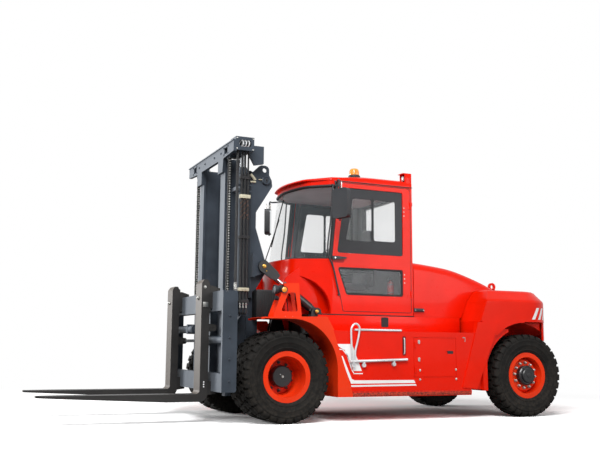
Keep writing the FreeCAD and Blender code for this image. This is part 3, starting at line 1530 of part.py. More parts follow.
def make_sheaves():
    """Chain sheaves on their pins, each under the bend of its chain."""
    sheaves = Piece("mast_sheaves")
    sheave_x = d.chain_x - d.sheave_radius
    hub = d.sheave_radius - d.chain_wall / 2
    reach = d.chain_width / 2
    for side in SIDES.values():
        y = side * d.chain_track
        top = d.sheave_radius + d.chain_wall / 2
        sheaves.boss("side", sheave_x, d.sheave_z, top, y - reach, y + reach)
        sheaves.bore("side", sheave_x, d.sheave_z, hub + d.seat_gap, y - reach, y + reach)
        sheaves.slot(sheave_x - top - 5, sheave_x + top + 5, y - reach, y + reach,
                     d.sheave_z - top - 5, d.sheave_z)
    for side in SIDES.values():
        y = side * d.chain_track
        rim = reach + d.seat_gap
        sheaves.boss("side", sheave_x, d.sheave_z, hub, y - rim, y + rim)
        for start, end in ((-rim - 6, -rim), (rim, rim + 6)):
            sheaves.boss("side", sheave_x, d.sheave_z, hub + 12, y + start, y + end)
        sheaves.boss("side", sheave_x, d.sheave_z, 20, y - reach - 28, y + reach + 28)


def make_chains():
    """The straight strands of the lift chains, ahead of and behind the sheaves."""
    half = d.chain_width / 2
    wall = d.chain_wall / 2
    top = d.sheave_z - d.seat_gap
    front = Piece("chains_front")
    rear = Piece("chains_rear")
    for side in SIDES.values():
        y = side * d.chain_track
        front.box(d.chain_x - wall, d.chain_x + wall, y - half, y + half, CHAIN_ANCHOR, top)
        back = d.chain_x - 2 * d.sheave_radius
        rear.box(back - wall, back + wall, y - half, y + half, d.clamp_foot + 45 + d.seat_gap,
                 top)


def make_hoses():
    """Mast hoses: fixed runs beside the cylinder and the strands up to the head."""
    radius = d.hose_radius
    fixed = Piece("mast_hoses")
    rear = Piece("hoses_rear")
    front = Piece("hoses_front")
    top = LIFT_SHELF + 30
    reach = d.hose_track
    for shift in HOSE_BACKS:
        x = d.lift_x + shift
        fixed.boss("plan", x, reach, radius, 1420, d.hose_neck - 60)
        fixed.boss("plan", x, reach, radius + 4, d.hose_neck - 60, d.hose_neck)
        rear.boss("plan", x, reach, radius, d.hose_neck + d.seat_gap, top)
    for clamp in (1420, 2200, d.hose_neck - 60):
        fixed.box(d.lift_x - 60, d.lift_x + 70, d.lift_track + d.lift_barrel + d.seat_gap,
                  reach + radius + 6, clamp, clamp + 36)
    for shift in (0, 35):
        front.boss("plan", d.chain_x - 25, reach + shift, radius, CHAIN_ANCHOR, top)


make_inner_mast()
make_lift_rods()
make_sheaves()
make_chains()
make_hoses()


# ------------------------------------------------------------------- carriage and forks

# fork side and height of each positioner
POSITIONERS = ((1, 1120), (-1, 970))


def make_carriage():
    """Carriage: two fork bars, end plates, roller plates with rollers, chain anchors."""
    carriage = Piece("carriage")
    half = d.carriage_half
    front = d.bar_front
    rear = d.bar_rear
    top = d.carriage_top
    foot = d.carriage_bottom
    middle = (front + rear) / 2
    carriage.box(rear, front, -half, half, top - d.upper_bar, top)
    carriage.box(rear, front, -half, half, foot, foot + d.lower_bar)
    roller = (d.inner_front - d.inner_rear - 2 * d.rail_wall) / 2 - 2
    axis = (d.inner_front + d.inner_rear) / 2
    for side in SIDES.values():
        low, high = mirrored(half - d.end_plate, half, side)
        carriage.pad("side", [
            (front, foot), (front, top), (front - d.end_depth, top, 30),
            (front - d.end_depth, foot, 30),
        ], low, high)
        inner = d.roller_plate_half - d.roller_plate_wall
        low, high = mirrored(inner, d.roller_plate_half, side)
        carriage.pad("side", [
            (rear + 1, foot + 50), (rear + 1, top - 95), (axis - 105, top - 95, 60),
            (axis - 105, foot + 50, 60),
        ], low, high)
        low, high = mirrored(d.roller_plate_half - 1, d.inner_gauge + 37, side)
        for height in (foot + 160, top - 205):
            carriage.boss("side", axis, height, roller, low, high)
        chain = side * d.chain_track
        carriage.box(d.chain_x - 27, rear + 1, chain - 34, chain + 34, CHAIN_ANCHOR - 80,
                     CHAIN_ANCHOR - d.seat_gap)
    carriage.box(d.chain_x - 50, rear + 1, d.hose_track - 30, d.hose_track + 60,
                 CHAIN_ANCHOR - 60, CHAIN_ANCHOR - d.seat_gap)
    for side, height in POSITIONERS:
        low, high = mirrored(d.roller_plate_half - d.roller_plate_wall, d.roller_plate_half,
                             -side)
        reach = d.positioner_radius + 12
        carriage.box(rear - 10, front - 3, low, high, height - reach, height + reach)
        carriage.bore("side", d.positioner_x, height, d.positioner_radius + d.seat_gap, low, high)
    # groove that the forks' hooks run in
    carriage.slot(middle - 10, middle + 20, -half, half, top - 25, top + 1)


def make_positioners():
    """Fork positioner barrels, bored for their rods; each lies across the other side."""
    barrels = Piece("positioner_cylinders")
    for side, height in POSITIONERS:
        far = d.carriage_half - d.end_plate - d.seat_gap
        low, high = mirrored(-far, -d.positioner_neck, side)
        barrels.boss("side", d.positioner_x, height, d.positioner_radius, low, high)
        low, high = mirrored(-(far - 45), -d.positioner_neck, side)
        barrels.bore("side", d.positioner_x, height, d.positioner_rod + d.pin_gap, low, high)


def make_fork(side, name, height):
    """One fork: shank with its hooks, rounded heel and tapered blade; and its rod."""
    fork = Piece("fork_%s" % name)
    half = d.fork_width / 2
    low, high = mirrored(d.fork_track - half, d.fork_track + half, side)
    back = d.fork_back
    face = back + d.fork_wall
    blade = d.fork_bottom + d.blade_wall
    fork.pad("side", [
        (back, d.fork_bottom, 95), (back, d.fork_head - 45), (back + 28, d.fork_head),
        (face - 30, d.fork_head), (face, d.fork_head - 45), (face, blade, 45),
        (d.fork_reach, blade), (d.fork_reach, blade - d.tip_wall), (face + 400, d.fork_bottom),
    ], low, high)
    for end in (1, -1):
        edge = side * d.fork_track + end * half
        fork.pocket("plan", [
            (d.fork_reach - 330, edge), (d.fork_reach + 5, edge), (d.fork_reach + 5, edge - end * 68),
            (d.fork_reach - 60, edge - end * 40),
        ], d.fork_bottom - 5, blade + 5)
    hook_front = d.bar_front + d.seat_gap
    top = d.carriage_top + d.seat_gap
    middle = (d.bar_front + d.bar_rear) / 2
    hook_low, hook_high = mirrored(d.fork_track - half + 20, d.fork_track + half - 20, side)
    fork.pad("side", [
        (back + 1, top - 190), (back + 1, top + 75), (back - 40, top + 75), (middle - 35, top + 45),
        (middle - 35, top), (middle - 9, top), (middle - 9, top - 20), (middle + 19, top - 20),
        (middle + 19, top), (hook_front, top), (hook_front, top - 190),
    ], hook_low, hook_high)
    foot = d.carriage_bottom - d.seat_gap
    fork.pad("side", [
        (back + 1, foot + 120), (back + 1, foot - 45), (middle - 5, foot - 30), (middle - 5, foot),
        (hook_front, foot), (hook_front, foot + 120),
    ], hook_low, hook_high)
    fork.boss("plan", back - 22, side * d.fork_track, 17, top + 70, top + 115)
    # lug for the positioner rod
    lug_low, lug_high = mirrored(d.fork_track - 45, d.fork_track - 10, side)
    fork.pad("side", [
        (back + 1, height - 55), (back + 1, height + 55), (d.positioner_x, height + 40, 38),
        (d.positioner_x - 36, height + 40, 30), (d.positioner_x - 36, height - 40, 30),
        (d.positioner_x, height - 40, 38),
    ], lug_low, lug_high)
    rod = Piece("positioner_rod_%s" % name)
    low, high = mirrored(-560, d.fork_track - 45 - d.seat_gap, side)
    rod.boss("side", d.positioner_x, height, d.positioner_rod, low, high)


make_carriage()
make_positioners()
for name, (side, height) in zip(SIDES, POSITIONERS):
    make_fork(side, name, height)


# ---------------------------------------------------------------------- tilt cylinders

def make_tilt_cylinders():
    """Barrels on the frame's pins and rods towards the mast's pins, in one line."""
    rise = plain(d.tilt_eye_z - d.tilt_foot_z)
    run = plain(d.tilt_eye_x + d.tilt_foot_x)
    lean = math.degrees(math.atan2(rise, run))
    span = math.hypot(rise, run)
    barrels = Piece("tilt_cylinder_barrels", -d.tilt_foot_x, 0, d.tilt_foot_z)
    rods = Piece("tilt_cylinder_rods", -d.tilt_foot_x, 0, d.tilt_foot_z)
    half = d.tilt_eye_width / 2
    for side in SIDES.values():
        y = side * d.tilt_track
        low, high = y - half, y + half
        barrels.boss("side", 0, 0, d.tilt_pin + 22, low, high)
        barrels.boss("front", y, 0, d.tilt_barrel, 90, d.tilt_barrel_length)
        barrels.box(20, 95, low, high, -40, 40)
        barrels.bore("front", y, 0, d.tilt_rod + d.pin_gap, 120, d.tilt_barrel_length)
        barrels.bore("side", 0, 0, d.tilt_pin + d.pin_gap, low, high)
        eye = d.tilt_pin + d.tilt_eye_play
        rods.boss("front", y, 0, d.tilt_rod, d.tilt_barrel_length - 175, span - 50)
        rods.boss("side", span, 0, eye + 22, low, high)
        rods.bore("side", span, 0, eye, low, high)
    for piece in (barrels, rods):
        piece.body.Placement.Rotation = FreeCAD.Rotation(Vector(0, 1, 0), -lean)


make_tilt_cylinders()


# ------------------------------------------------------------------------------ export

def check_document():
    """Stop if any object failed, or if a cut took nothing away."""
    doc.recompute()
    for item in doc.Objects:
        if "Invalid" in item.State or "Error" in item.State:
            raise RuntimeError("%s failed: %s" % (item.Label, item.getStatusString()))
    for piece in PIECES:
        for cut in piece.cuts:
            if cut.BaseFeature.Shape.Volume - cut.Shape.Volume < 1:
                raise RuntimeError("%s cuts nothing in %s" % (cut.Name, piece.body.Label))


def export_pieces():
    """Write each piece as its own STEP file."""
    os.makedirs("parts", exist_ok=True)
    for piece in PIECES:
        shape = piece.body.Shape
        if shape.isNull() or not shape.isValid():
            raise RuntimeError("%s has no valid shape" % piece.body.Label)
        shape.exportStep("parts/%s.step" % piece.body.Label)
        print("%-26s %2d solids %9.4f m3" % (piece.body.Label, len(shape.Solids),
                                             shape.Volume / 1e9))


check_document()
export_pieces()
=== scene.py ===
"""Looks of a heavy counterbalance forklift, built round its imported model."""

import logging
import math
from collections.abc import Callable, Iterable, Sequence
from dataclasses import dataclass
from enum import Enum

import bmesh
import bpy
from mathutils import Matrix, Vector
from mathutils.bvhtree import BVHTree


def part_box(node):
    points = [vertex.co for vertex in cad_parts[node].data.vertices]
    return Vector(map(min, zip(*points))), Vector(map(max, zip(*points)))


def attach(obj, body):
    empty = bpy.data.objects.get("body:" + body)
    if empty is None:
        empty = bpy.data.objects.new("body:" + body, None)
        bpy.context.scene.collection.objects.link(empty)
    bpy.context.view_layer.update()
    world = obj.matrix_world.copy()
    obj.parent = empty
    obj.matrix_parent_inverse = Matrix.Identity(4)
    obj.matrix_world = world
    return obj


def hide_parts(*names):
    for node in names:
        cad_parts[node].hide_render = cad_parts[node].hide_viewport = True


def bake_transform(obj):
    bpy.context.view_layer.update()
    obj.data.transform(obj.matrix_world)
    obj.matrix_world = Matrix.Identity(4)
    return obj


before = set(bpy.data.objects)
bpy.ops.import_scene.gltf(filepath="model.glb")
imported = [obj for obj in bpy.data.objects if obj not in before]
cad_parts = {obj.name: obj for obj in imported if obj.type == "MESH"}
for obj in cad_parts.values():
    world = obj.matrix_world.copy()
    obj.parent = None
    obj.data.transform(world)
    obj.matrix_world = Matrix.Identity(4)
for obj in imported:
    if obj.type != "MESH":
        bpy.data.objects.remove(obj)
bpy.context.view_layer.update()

LOG = logging.getLogger("forklift")
SIDES = {"left": 1, "right": -1}
Point = Sequence[float]

hub_low, hub_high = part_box("front_left_hub")
AXLE_X = (hub_low.x + hub_high.x) / 2
WHEEL_Z = (hub_low.z + hub_high.z) / 2


def at(x: float, y: float, z: float) -> Vector:
    """Point in the frame, from its place ahead of the drive axle, to the left and above ground."""
    return Vector((x + AXLE_X, y, z))


def ahead(points: Iterable[Point]) -> list[tuple[float, float]]:
    """Outline in the frame, from one whose first number is the place ahead of the drive axle."""
    return [(x + AXLE_X, other) for x, other in points]


def rectangle(x: float, z: float, far_x: float, far_z: float) -> list[tuple[float, float]]:
    """Corners of a rectangle, from one corner to the one across from it."""
    return [(x, z), (far_x, z), (far_x, far_z), (x, far_z)]


def linear(color: Sequence[float]) -> tuple[float, float, float, float]:
    """Linear colour with full alpha, from three screen values of 0 to 255."""
    return (*(((c / 255 + 0.055) / 1.055) ** 2.4 if c > 10 else c / 3295 for c in color), 1.0)


# ---------------------------------------------------------------------------- finishes


class Wire:
    """A socket of a node tree; arithmetic on it adds Math nodes."""

    def __init__(self, sheet: "NodeSheet", socket: bpy.types.NodeSocket) -> None:
        """Keeps the socket and the sheet that it belongs to."""
        self.sheet = sheet
        self.socket = socket

    def maths(self, operation: str, *values: "Wire | float") -> "Wire":
        """Result of a Math node on this socket and the other values."""
        inputs = dict(enumerate((self, *values)))
        return self.sheet.node("ShaderNodeMath", {"operation": operation}, inputs)

    def __add__(self, other: "Wire | float") -> "Wire":
        """Sum."""
        return self.maths("ADD", other)

    __radd__ = __add__

    def __mul__(self, other: "Wire | float") -> "Wire":
        """Product."""
        return self.maths("MULTIPLY", other)

    __rmul__ = __mul__

    def __sub__(self, other: "Wire | float") -> "Wire":
        """Difference."""
        return self.maths("SUBTRACT", other)

    def __rsub__(self, other: float) -> "Wire":
        """Difference from a number."""
        inputs = {0: other, 1: self}
        return self.sheet.node("ShaderNodeMath", {"operation": "SUBTRACT"}, inputs)

    def step(self, low: float, high: float) -> "Wire":
        """Smooth rise from 0 at low to 1 at high."""
        inputs = {0: self, 1: low, 2: high}
        return self.sheet.node("ShaderNodeMapRange", {"interpolation_type": "SMOOTHSTEP"}, inputs)


class NodeSheet:
    """A material's node tree, with one way of adding a node."""

    def __init__(self, name: str) -> None:
        """Starts an empty material.

        Args:
            name: the material's name.
        """
        self.material = bpy.data.materials.new(name)
        self.material.use_nodes = True
        self.tree = self.material.node_tree
        self.tree.nodes.clear()

    def node(self, kind: str, settings: dict | None = None, inputs: dict | None = None,
             output: int | str = 0) -> Wire:
        """Adds a node.

        Args:
            kind: the node's type.
            settings: its properties, set before its inputs.
            inputs: values or wires for its sockets, by name or place.
            output: the socket that the wire starts from.

        Returns:
            A wire from that output.
        """
        node = self.tree.nodes.new(kind)
        for key, value in (settings or {}).items():
            setattr(node, key, value)
        for key, value in (inputs or {}).items():
            if isinstance(value, Wire):
                self.tree.links.new(value.socket, node.inputs[key])
            else:
                node.inputs[key].default_value = value
        return Wire(self, node.outputs[output])

    def noise(self, place: Wire, size: float, detail: float = 3.0) -> Wire:
        """Noise whose patches are about that many metres across."""
        inputs = {"Vector": place, "Scale": 1 / size, "Detail": detail}
        return self.node("ShaderNodeTexNoise", {}, inputs, "Fac")

    def mix(self, share: Wire | float, first: Wire | tuple, second: Wire | tuple) -> Wire:
        """Colour between the first and the second."""
        inputs = {0: share, 6: first, 7: second}
        return self.node("ShaderNodeMix", {"data_type": "RGBA"}, inputs, 2)

    def close(self, shader: Wire) -> bpy.types.Material:
        """Joins the shader to the output.

        Args:
            shader: the shader's socket.

        Returns:
            The material.
        """
        output = self.tree.nodes.new("ShaderNodeOutputMaterial")
        self.tree.links.new(shader.socket, output.inputs["Surface"])
        return self.material


SPECK_SIZE = 0.03
ROUGHNESS_SPREAD = 0.16
DUST_COLOR = (128, 116, 102)


class Grain(Enum):
    """Kinds of fine relief."""

    SPRAYED = "sprayed"
    CAST = "cast"
    MOULDED = "moulded"
    WOVEN = "woven"
    BRUSHED = "brushed"
    RIBBED = "ribbed"
    CHEQUER = "chequer"


@dataclass(frozen=True)
class Finish:
    """A surface of one kind: its colour, gloss, relief, wear and painted highlight.

    Lengths are in metres and colours are screen values of 0 to 255. The slot names the record's
    material slot of this finish, or is empty; no piece is given it.
    """

    name: str
    slot: str
    color: tuple[float, float, float]
    roughness: float = 0.4
    metallic: float = 0.0
    coat: float = 0.0
    grain: Grain = Grain.SPRAYED
    grain_size: float = 0.006
    grain_depth: float = 0.0001
    mottle: float = 0.10
    mottle_size: float = 0.35
    # colour, share and facing of the faces that wear and a painted highlight lighten
    wear_and_highlight: tuple[float, float, float] = (150, 140, 130)
    wear_and_highlight_share: float = 0.0
    wear_and_highlight_side: tuple[float, float, float] = (0.0, 0.0, 1.0)
    dust: float = 0.0
    glow: float = 0.0
    sheen: float = 0.0
    specular: float = 0.5

    def relief(self, sheet: NodeSheet, place: Wire) -> Wire:
        """Height of the fine relief, from 0 to 1.

        Args:
            sheet: the material's node sheet.
            place: coordinates on the piece.

        Returns:
            A wire with the height.
        """
        if self.grain is Grain.WOVEN:
            warp = sheet.node("ShaderNodeTexWave", {"bands_direction": "X"},
                              {"Vector": place, "Scale": 0.5 / self.grain_size}, "Fac")
            weft = sheet.node("ShaderNodeTexWave", {"bands_direction": "Z"},
                              {"Vector": place, "Scale": 0.5 / self.grain_size}, "Fac")
            return warp * 0.5 + weft * 0.5
        if self.grain is Grain.RIBBED:
            return sheet.node("ShaderNodeTexWave", {"bands_direction": "Z"},
                              {"Vector": place, "Scale": 0.5 / self.grain_size}, "Fac")
        if self.grain is Grain.CHEQUER:
            return sheet.node("ShaderNodeTexVoronoi", {"distance": "MANHATTAN"},
                              {"Vector": place, "Scale": 1 / self.grain_size}, "Distance")
        if self.grain is Grain.BRUSHED:
            drawn = sheet.node("ShaderNodeMapping", {},
                               {"Vector": place, "Scale": (1.0, 1.0, 0.04)}, "Vector")
            return sheet.noise(drawn, self.grain_size, 2.0)
        detail = 6.0 if self.grain is Grain.CAST else 1.0
        return sheet.noise(place, self.grain_size, detail)

    def material(self) -> bpy.types.Material:
        """The material of this finish, made once.

        Returns:
            The material.
        """
        name = f"{self.name}_finish"
        made = bpy.data.materials.get(name)
        if made:
            return made
        sheet = NodeSheet(name)
        place = sheet.node("ShaderNodeTexCoord", output="Object")
        patches = sheet.noise(place, self.mottle_size)
        specks = sheet.noise(place, SPECK_SIZE, 4.0)
        dark = linear([c * (1 - self.mottle * 1.6) for c in self.color])
        light = linear([min(255, c * (1 + self.mottle * 0.5)) for c in self.color])
        color = sheet.mix(patches.step(0.3, 0.7), dark, light)
        rough = specks * ROUGHNESS_SPREAD + (self.roughness - ROUGHNESS_SPREAD / 2)
        # Faces turned one way take a lighter colour: real wear on the forks, and on the mast a painted
        # highlight of the front light on its forward faces.
        if self.wear_and_highlight_share:
            normal = sheet.node("ShaderNodeTexCoord", output="Normal")
            facing = sheet.node("ShaderNodeVectorMath", {"operation": "DOT_PRODUCT"},
                                {0: normal, 1: self.wear_and_highlight_side}, "Value")
            wear_and_highlight = facing.step(0.55, 0.9) * (specks * 0.35 + 0.8) * self.wear_and_highlight_share
            color = sheet.mix(wear_and_highlight, color, linear(self.wear_and_highlight))
        if self.dust:
            height = sheet.node("ShaderNodeSeparateXYZ", {}, {0: place}, "Z")
            low = (1 - height.step(0.1, 1.2)) * self.dust
            settled = low * specks.step(0.35, 0.75)
            color = sheet.mix(settled, color, linear(DUST_COLOR))
            rough = rough + settled * 0.4
        bump = sheet.node("ShaderNodeBump", {},
                          {"Height": self.relief(sheet, place), "Strength": 1.0,
                           "Distance": self.grain_depth})
        inputs = {"Base Color": color, "Roughness": rough, "Metallic": self.metallic,
                  "Coat Weight": self.coat, "Coat Roughness": 0.06, "Normal": bump,
                  "Specular IOR Level": self.specular}
        if self.glow:
            inputs |= {"Emission Color": linear(self.color), "Emission Strength": self.glow}
        if self.sheen:
            inputs |= {"Sheen Weight": self.sheen}
        return sheet.close(sheet.node("ShaderNodeBsdfPrincipled", {}, inputs))


@dataclass(frozen=True)
class Pane:
    """A sheet of tinted glass that shows what is behind it."""

    name: str
    tint: tuple[float, float, float]
    cover: float = 0.2
    grazing_reflection_cover: float = 0.5
    roughness: float = 0.03

    def material(self) -> bpy.types.Material:
        """The material of this glass, made once.

        Returns:
            The material.
        """
        made = bpy.data.materials.get(self.name)
        if made:
            return made
        sheet = NodeSheet(self.name)
        place = sheet.node("ShaderNodeTexCoord", output="Object")
        film = sheet.noise(place, 0.4, 2.0)
        # Partly painted reflection: the grey tint covers more of the pane at grazing angles, in place of
        # the glass's stronger reflection there.
        edge = sheet.node("ShaderNodeLayerWeight", {}, {"Blend": 0.3}, "Facing")
        cover = edge * self.grazing_reflection_cover + film * 0.06 + (self.cover - 0.03)
        inputs = {"Base Color": linear(self.tint), "Roughness": self.roughness, "Alpha": cover,
                  "Coat Weight": 1.0, "Coat Roughness": 0.02}
        return sheet.close(sheet.node("ShaderNodeBsdfPrincipled", {}, inputs))


RED = Finish("body_red_gloss", "body_red", (234, 27, 0), 0.30, coat=0.12, grain_size=0.012,
             grain_depth=0.00012, mottle=0.015, dust=0.03, specular=0.12)
CAST_RED = Finish("counterweight_red", "body_red", (236, 29, 0), 0.34, coat=0.12, grain=Grain.CAST,
                  grain_size=0.05, grain_depth=0.0007, mottle=0.02, dust=0.03, specular=0.12)
# painted shade: the body red darkened where it lines recesses that shade falls into
RECESS_SHADE_RED = Finish("recess_shade_red", "body_red", (176, 10, 2), 0.4, coat=0.1, grain_depth=0.0001,
                  mottle=0.05, specular=0.15)
ORANGE = Finish("trim_orange_gloss", "trim_orange", (240, 56, 14), 0.34, coat=0.2, grain_size=0.01,
                grain_depth=0.0001, mottle=0.02, dust=0.05, specular=0.12)
# The forward faces of the mast are painted a lighter grey: a painted highlight of the light from the
# front, not wear.
SLATE = Finish("mast_slate", "mast_slate", (62, 69, 78), 0.42, coat=0.04, specular=0.12,
               grain_size=0.02, grain_depth=0.00025, mottle=0.08, wear_and_highlight=(128, 135, 144),
               wear_and_highlight_share=0.8, wear_and_highlight_side=(1.0, 0.0, 0.0))
DARK = Finish("chassis_dark", "", (34, 35, 37), 0.5, grain_size=0.015, grain_depth=0.0003,
              mottle=0.2, dust=0.25)
FORK_BLACK = Finish("fork_black", "", (34, 32, 31), 0.48, grain=Grain.CAST, grain_size=0.03,
                    grain_depth=0.0004, mottle=0.2, wear_and_highlight=(98, 88, 78), wear_and_highlight_share=0.75,
                    wear_and_highlight_side=(0.85, 0.0, 0.5))
CHROME = Finish("rod_chrome", "rod_chrome", (215, 218, 222), 0.14, metallic=1.0,
                grain=Grain.BRUSHED, grain_depth=0.00003, mottle=0.04)
STEEL = Finish("bare_steel", "bare_steel", (190, 190, 186), 0.36, metallic=1.0,
               grain=Grain.BRUSHED, grain_depth=0.0001, mottle=0.15)
CHAIN = Finish("oiled_chain", "bare_steel", (40, 39, 38), 0.38, metallic=0.5, grain_depth=0.0001,
               mottle=0.3, mottle_size=0.02)
BRASS = Finish("yellow_zinc", "bare_steel", (205, 160, 80), 0.3, metallic=1.0, grain_depth=0.0001,
               mottle=0.15, mottle_size=0.02)
SILVER = Finish("step_silver", "step_silver", (224, 226, 228), 0.3, metallic=0.35, coat=0.2,
                grain_depth=0.0001, mottle=0.06)
RUBBER = Finish("tyre_rubber", "tyre_rubber", (27, 25, 23), 0.75, grain=Grain.CAST,
                grain_size=0.02, grain_depth=0.0006, mottle=0.25, mottle_size=0.12, dust=0.08,
                specular=0.2)
SEAL = Finish("seal_rubber", "black_plastic", (22, 23, 25), 0.6, grain_size=0.004,
              grain_depth=0.0001)
HOSE = Finish("hose_rubber", "hose_rubber", (26, 26, 28), 0.5, grain=Grain.RIBBED,
              grain_size=0.006, grain_depth=0.0012, mottle=0.15, mottle_size=0.05)
SLEEVE = Finish("hose_sleeve", "hose_rubber", (84, 60, 48), 0.55, grain=Grain.WOVEN,
                grain_size=0.004, grain_depth=0.0008, mottle=0.25, mottle_size=0.03)
HUB_BLACK = Finish("hub_black", "hub_black", (28, 29, 31), 0.36, coat=0.3, grain_depth=0.0001,
                   mottle=0.15)
PLASTIC = Finish("black_plastic", "black_plastic", (44, 46, 50), 0.5, grain=Grain.MOULDED,
                 grain_size=0.003, grain_depth=0.0002, mottle=0.08)
FRIT = Finish("window_border", "black_plastic", (38, 39, 43), 0.4, grain_depth=0.00005,
              mottle=0.05, specular=0.3)
WHITE = Finish("stripe_white", "", (246, 246, 246), 0.34, coat=0.3, grain_depth=0.00005,
               mottle=0.02)
TRIM_GREY = Finish("cab_lining", "", (112, 116, 120), 0.7, grain=Grain.MOULDED, grain_size=0.004,
                   grain_depth=0.0003, mottle=0.08)
HEADLINER = Finish("cab_headliner", "", (212, 216, 218), 0.8, grain=Grain.WOVEN, grain_size=0.004,
                   grain_depth=0.0002, mottle=0.03)
CLOTH = Finish("seat_cloth", "seat_cloth", (62, 64, 68), 0.85, grain=Grain.WOVEN, grain_size=0.004,
               grain_depth=0.0008, mottle=0.15, mottle_size=0.06, sheen=0.3)
AMBER = Finish("amber_lens", "lamp_plastic", (250, 150, 10), 0.12, coat=1.0, grain=Grain.RIBBED,
               grain_size=0.012, grain_depth=0.001, mottle=0.15, mottle_size=0.03, glow=0.25)
CLEAR = Finish("clear_lens", "lamp_plastic", (225, 230, 235), 0.08, metallic=0.5, coat=1.0,
               grain=Grain.WOVEN, grain_size=0.012, grain_depth=0.0008, mottle=0.1,
               mottle_size=0.03)
RED_LENS = Finish("red_lens", "", (190, 12, 14), 0.15, coat=1.0, grain=Grain.CHEQUER,
                  grain_size=0.01, grain_depth=0.0008, mottle=0.15, mottle_size=0.03, glow=0.1)
GRIT = Finish("grip_strip", "", (176, 52, 28), 0.75, grain=Grain.CHEQUER, grain_size=0.012,
              grain_depth=0.002, mottle=0.3, mottle_size=0.02)
GLASS = Pane("window_glass", (168, 180, 186), 0.05, 0.12)
DARK_GLASS = Pane("tinted_glass", (120, 128, 132), 0.10, 0.2)
MIRROR = Finish("mirror_glass", "", (200, 205, 210), 0.04, metallic=1.0, grain_depth=0.00002,
                mottle=0.02)
CREAM = Finish("clamp_cream", "", (206, 198, 172), 0.45, grain=Grain.MOULDED, mottle=0.08)

# finish of the CAD nodes
NODE_FINISH = {
    DARK: "frame engine_block front_axle steer_axle steer_knuckle_left steer_knuckle_right",
    RED: "left_side_box right_side_box cab_shell cab_roof hood cab_door_left cab_door_right "
         "side_box_door",
    CAST_RED: "counterweight",
    ORANGE: "front_fenders lamp_brackets front_left_rims front_right_rims rear_left_rim "
            "rear_right_rim",
    STEEL: "tow_pin mast_sheaves",
    GLASS: "cab_glass",
    CLOTH: "operator_seat",
    PLASTIC: "cab_consoles mirrors lamps steering_wheel",
    SILVER: "step_rails",
    DARK_GLASS: "door_glass_left door_glass_right",
    SLATE: "outer_mast mast_side_plates cylinder_brackets lift_cylinders inner_mast "
           "carriage positioner_cylinders",
    HOSE: "mast_hoses hoses_rear hoses_front",
    CHAIN: "chains_rear chains_front",
    CHROME: "lift_rods positioner_rod_left positioner_rod_right tilt_cylinder_rods",
    FORK_BLACK: "fork_left fork_right",
    HUB_BLACK: "tilt_cylinder_barrels front_left_hub front_right_hub rear_left_hub "
               "rear_right_hub",
    RUBBER: "front_left_tyres front_right_tyres rear_left_tyre rear_right_tyre",
}


# ------------------------------------------------------------------------------- meshes


def stitch(part: bmesh.types.BMesh, rows: Sequence[Sequence[bmesh.types.BMVert]],
           loop: bool = True, around: bool = False) -> None:
    """Adds the faces between rows of corners.

    Args:
        part: the mesh in the making.
        rows: the rows, each with as many corners.
        loop: whether each row closes on itself.
        around: whether the last row joins the first.
    """
    for first, second in zip(rows, [*rows[1:], rows[0]] if around else rows[1:]):
        for i in range(len(first) if loop else len(first) - 1):
            j = (i + 1) % len(first)
            part.faces.new((first[i], first[j], second[j], second[i]))


def loft(part: bmesh.types.BMesh, rows: Sequence[Sequence[bmesh.types.BMVert]]) -> bmesh.types.BMesh:
    """Closes the two ends of a stack of closed rows, and adds the faces between them.

    Args:
        part: the mesh that holds the rows.
        rows: the rows in order, each with as many points.

    Returns:
        The same mesh.
    """
    part.faces.new(rows[0])
    part.faces.new(rows[-1])
    stitch(part, rows)
    return part


def packed(name: str, cuts: Iterable[tuple[Vector, Vector]]) -> bmesh.types.BMesh:
    """A copy of a CAD node's mesh, cut and closed again.

    Args:
        name: the node.
        cuts: a point and a direction for each plane; what lies that way is dropped.

    Returns:
        The copy.
    """
    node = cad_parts[name]
    part = bmesh.new()
    part.from_mesh(node.data)
    part.transform(node.matrix_world)
    for spot, normal in cuts:
        cut = bmesh.ops.bisect_plane(part, geom=[*part.verts, *part.edges, *part.faces],
                                     plane_co=spot, plane_no=normal, clear_outer=True)
        edges = [e for e in cut["geom_cut"] if isinstance(e, bmesh.types.BMEdge)]
        bmesh.ops.edgenet_fill(part, edges=edges)
    return part


def plane_spot(axis: str) -> Callable[[float, float, float], tuple[float, float, float]]:
    """The function that places two coordinates on a plane across an axis."""
    return {"x": lambda u, v, w: (w, u, v), "y": lambda u, v, w: (u, w, v),
            "z": lambda u, v, w: (u, v, w)}[axis]


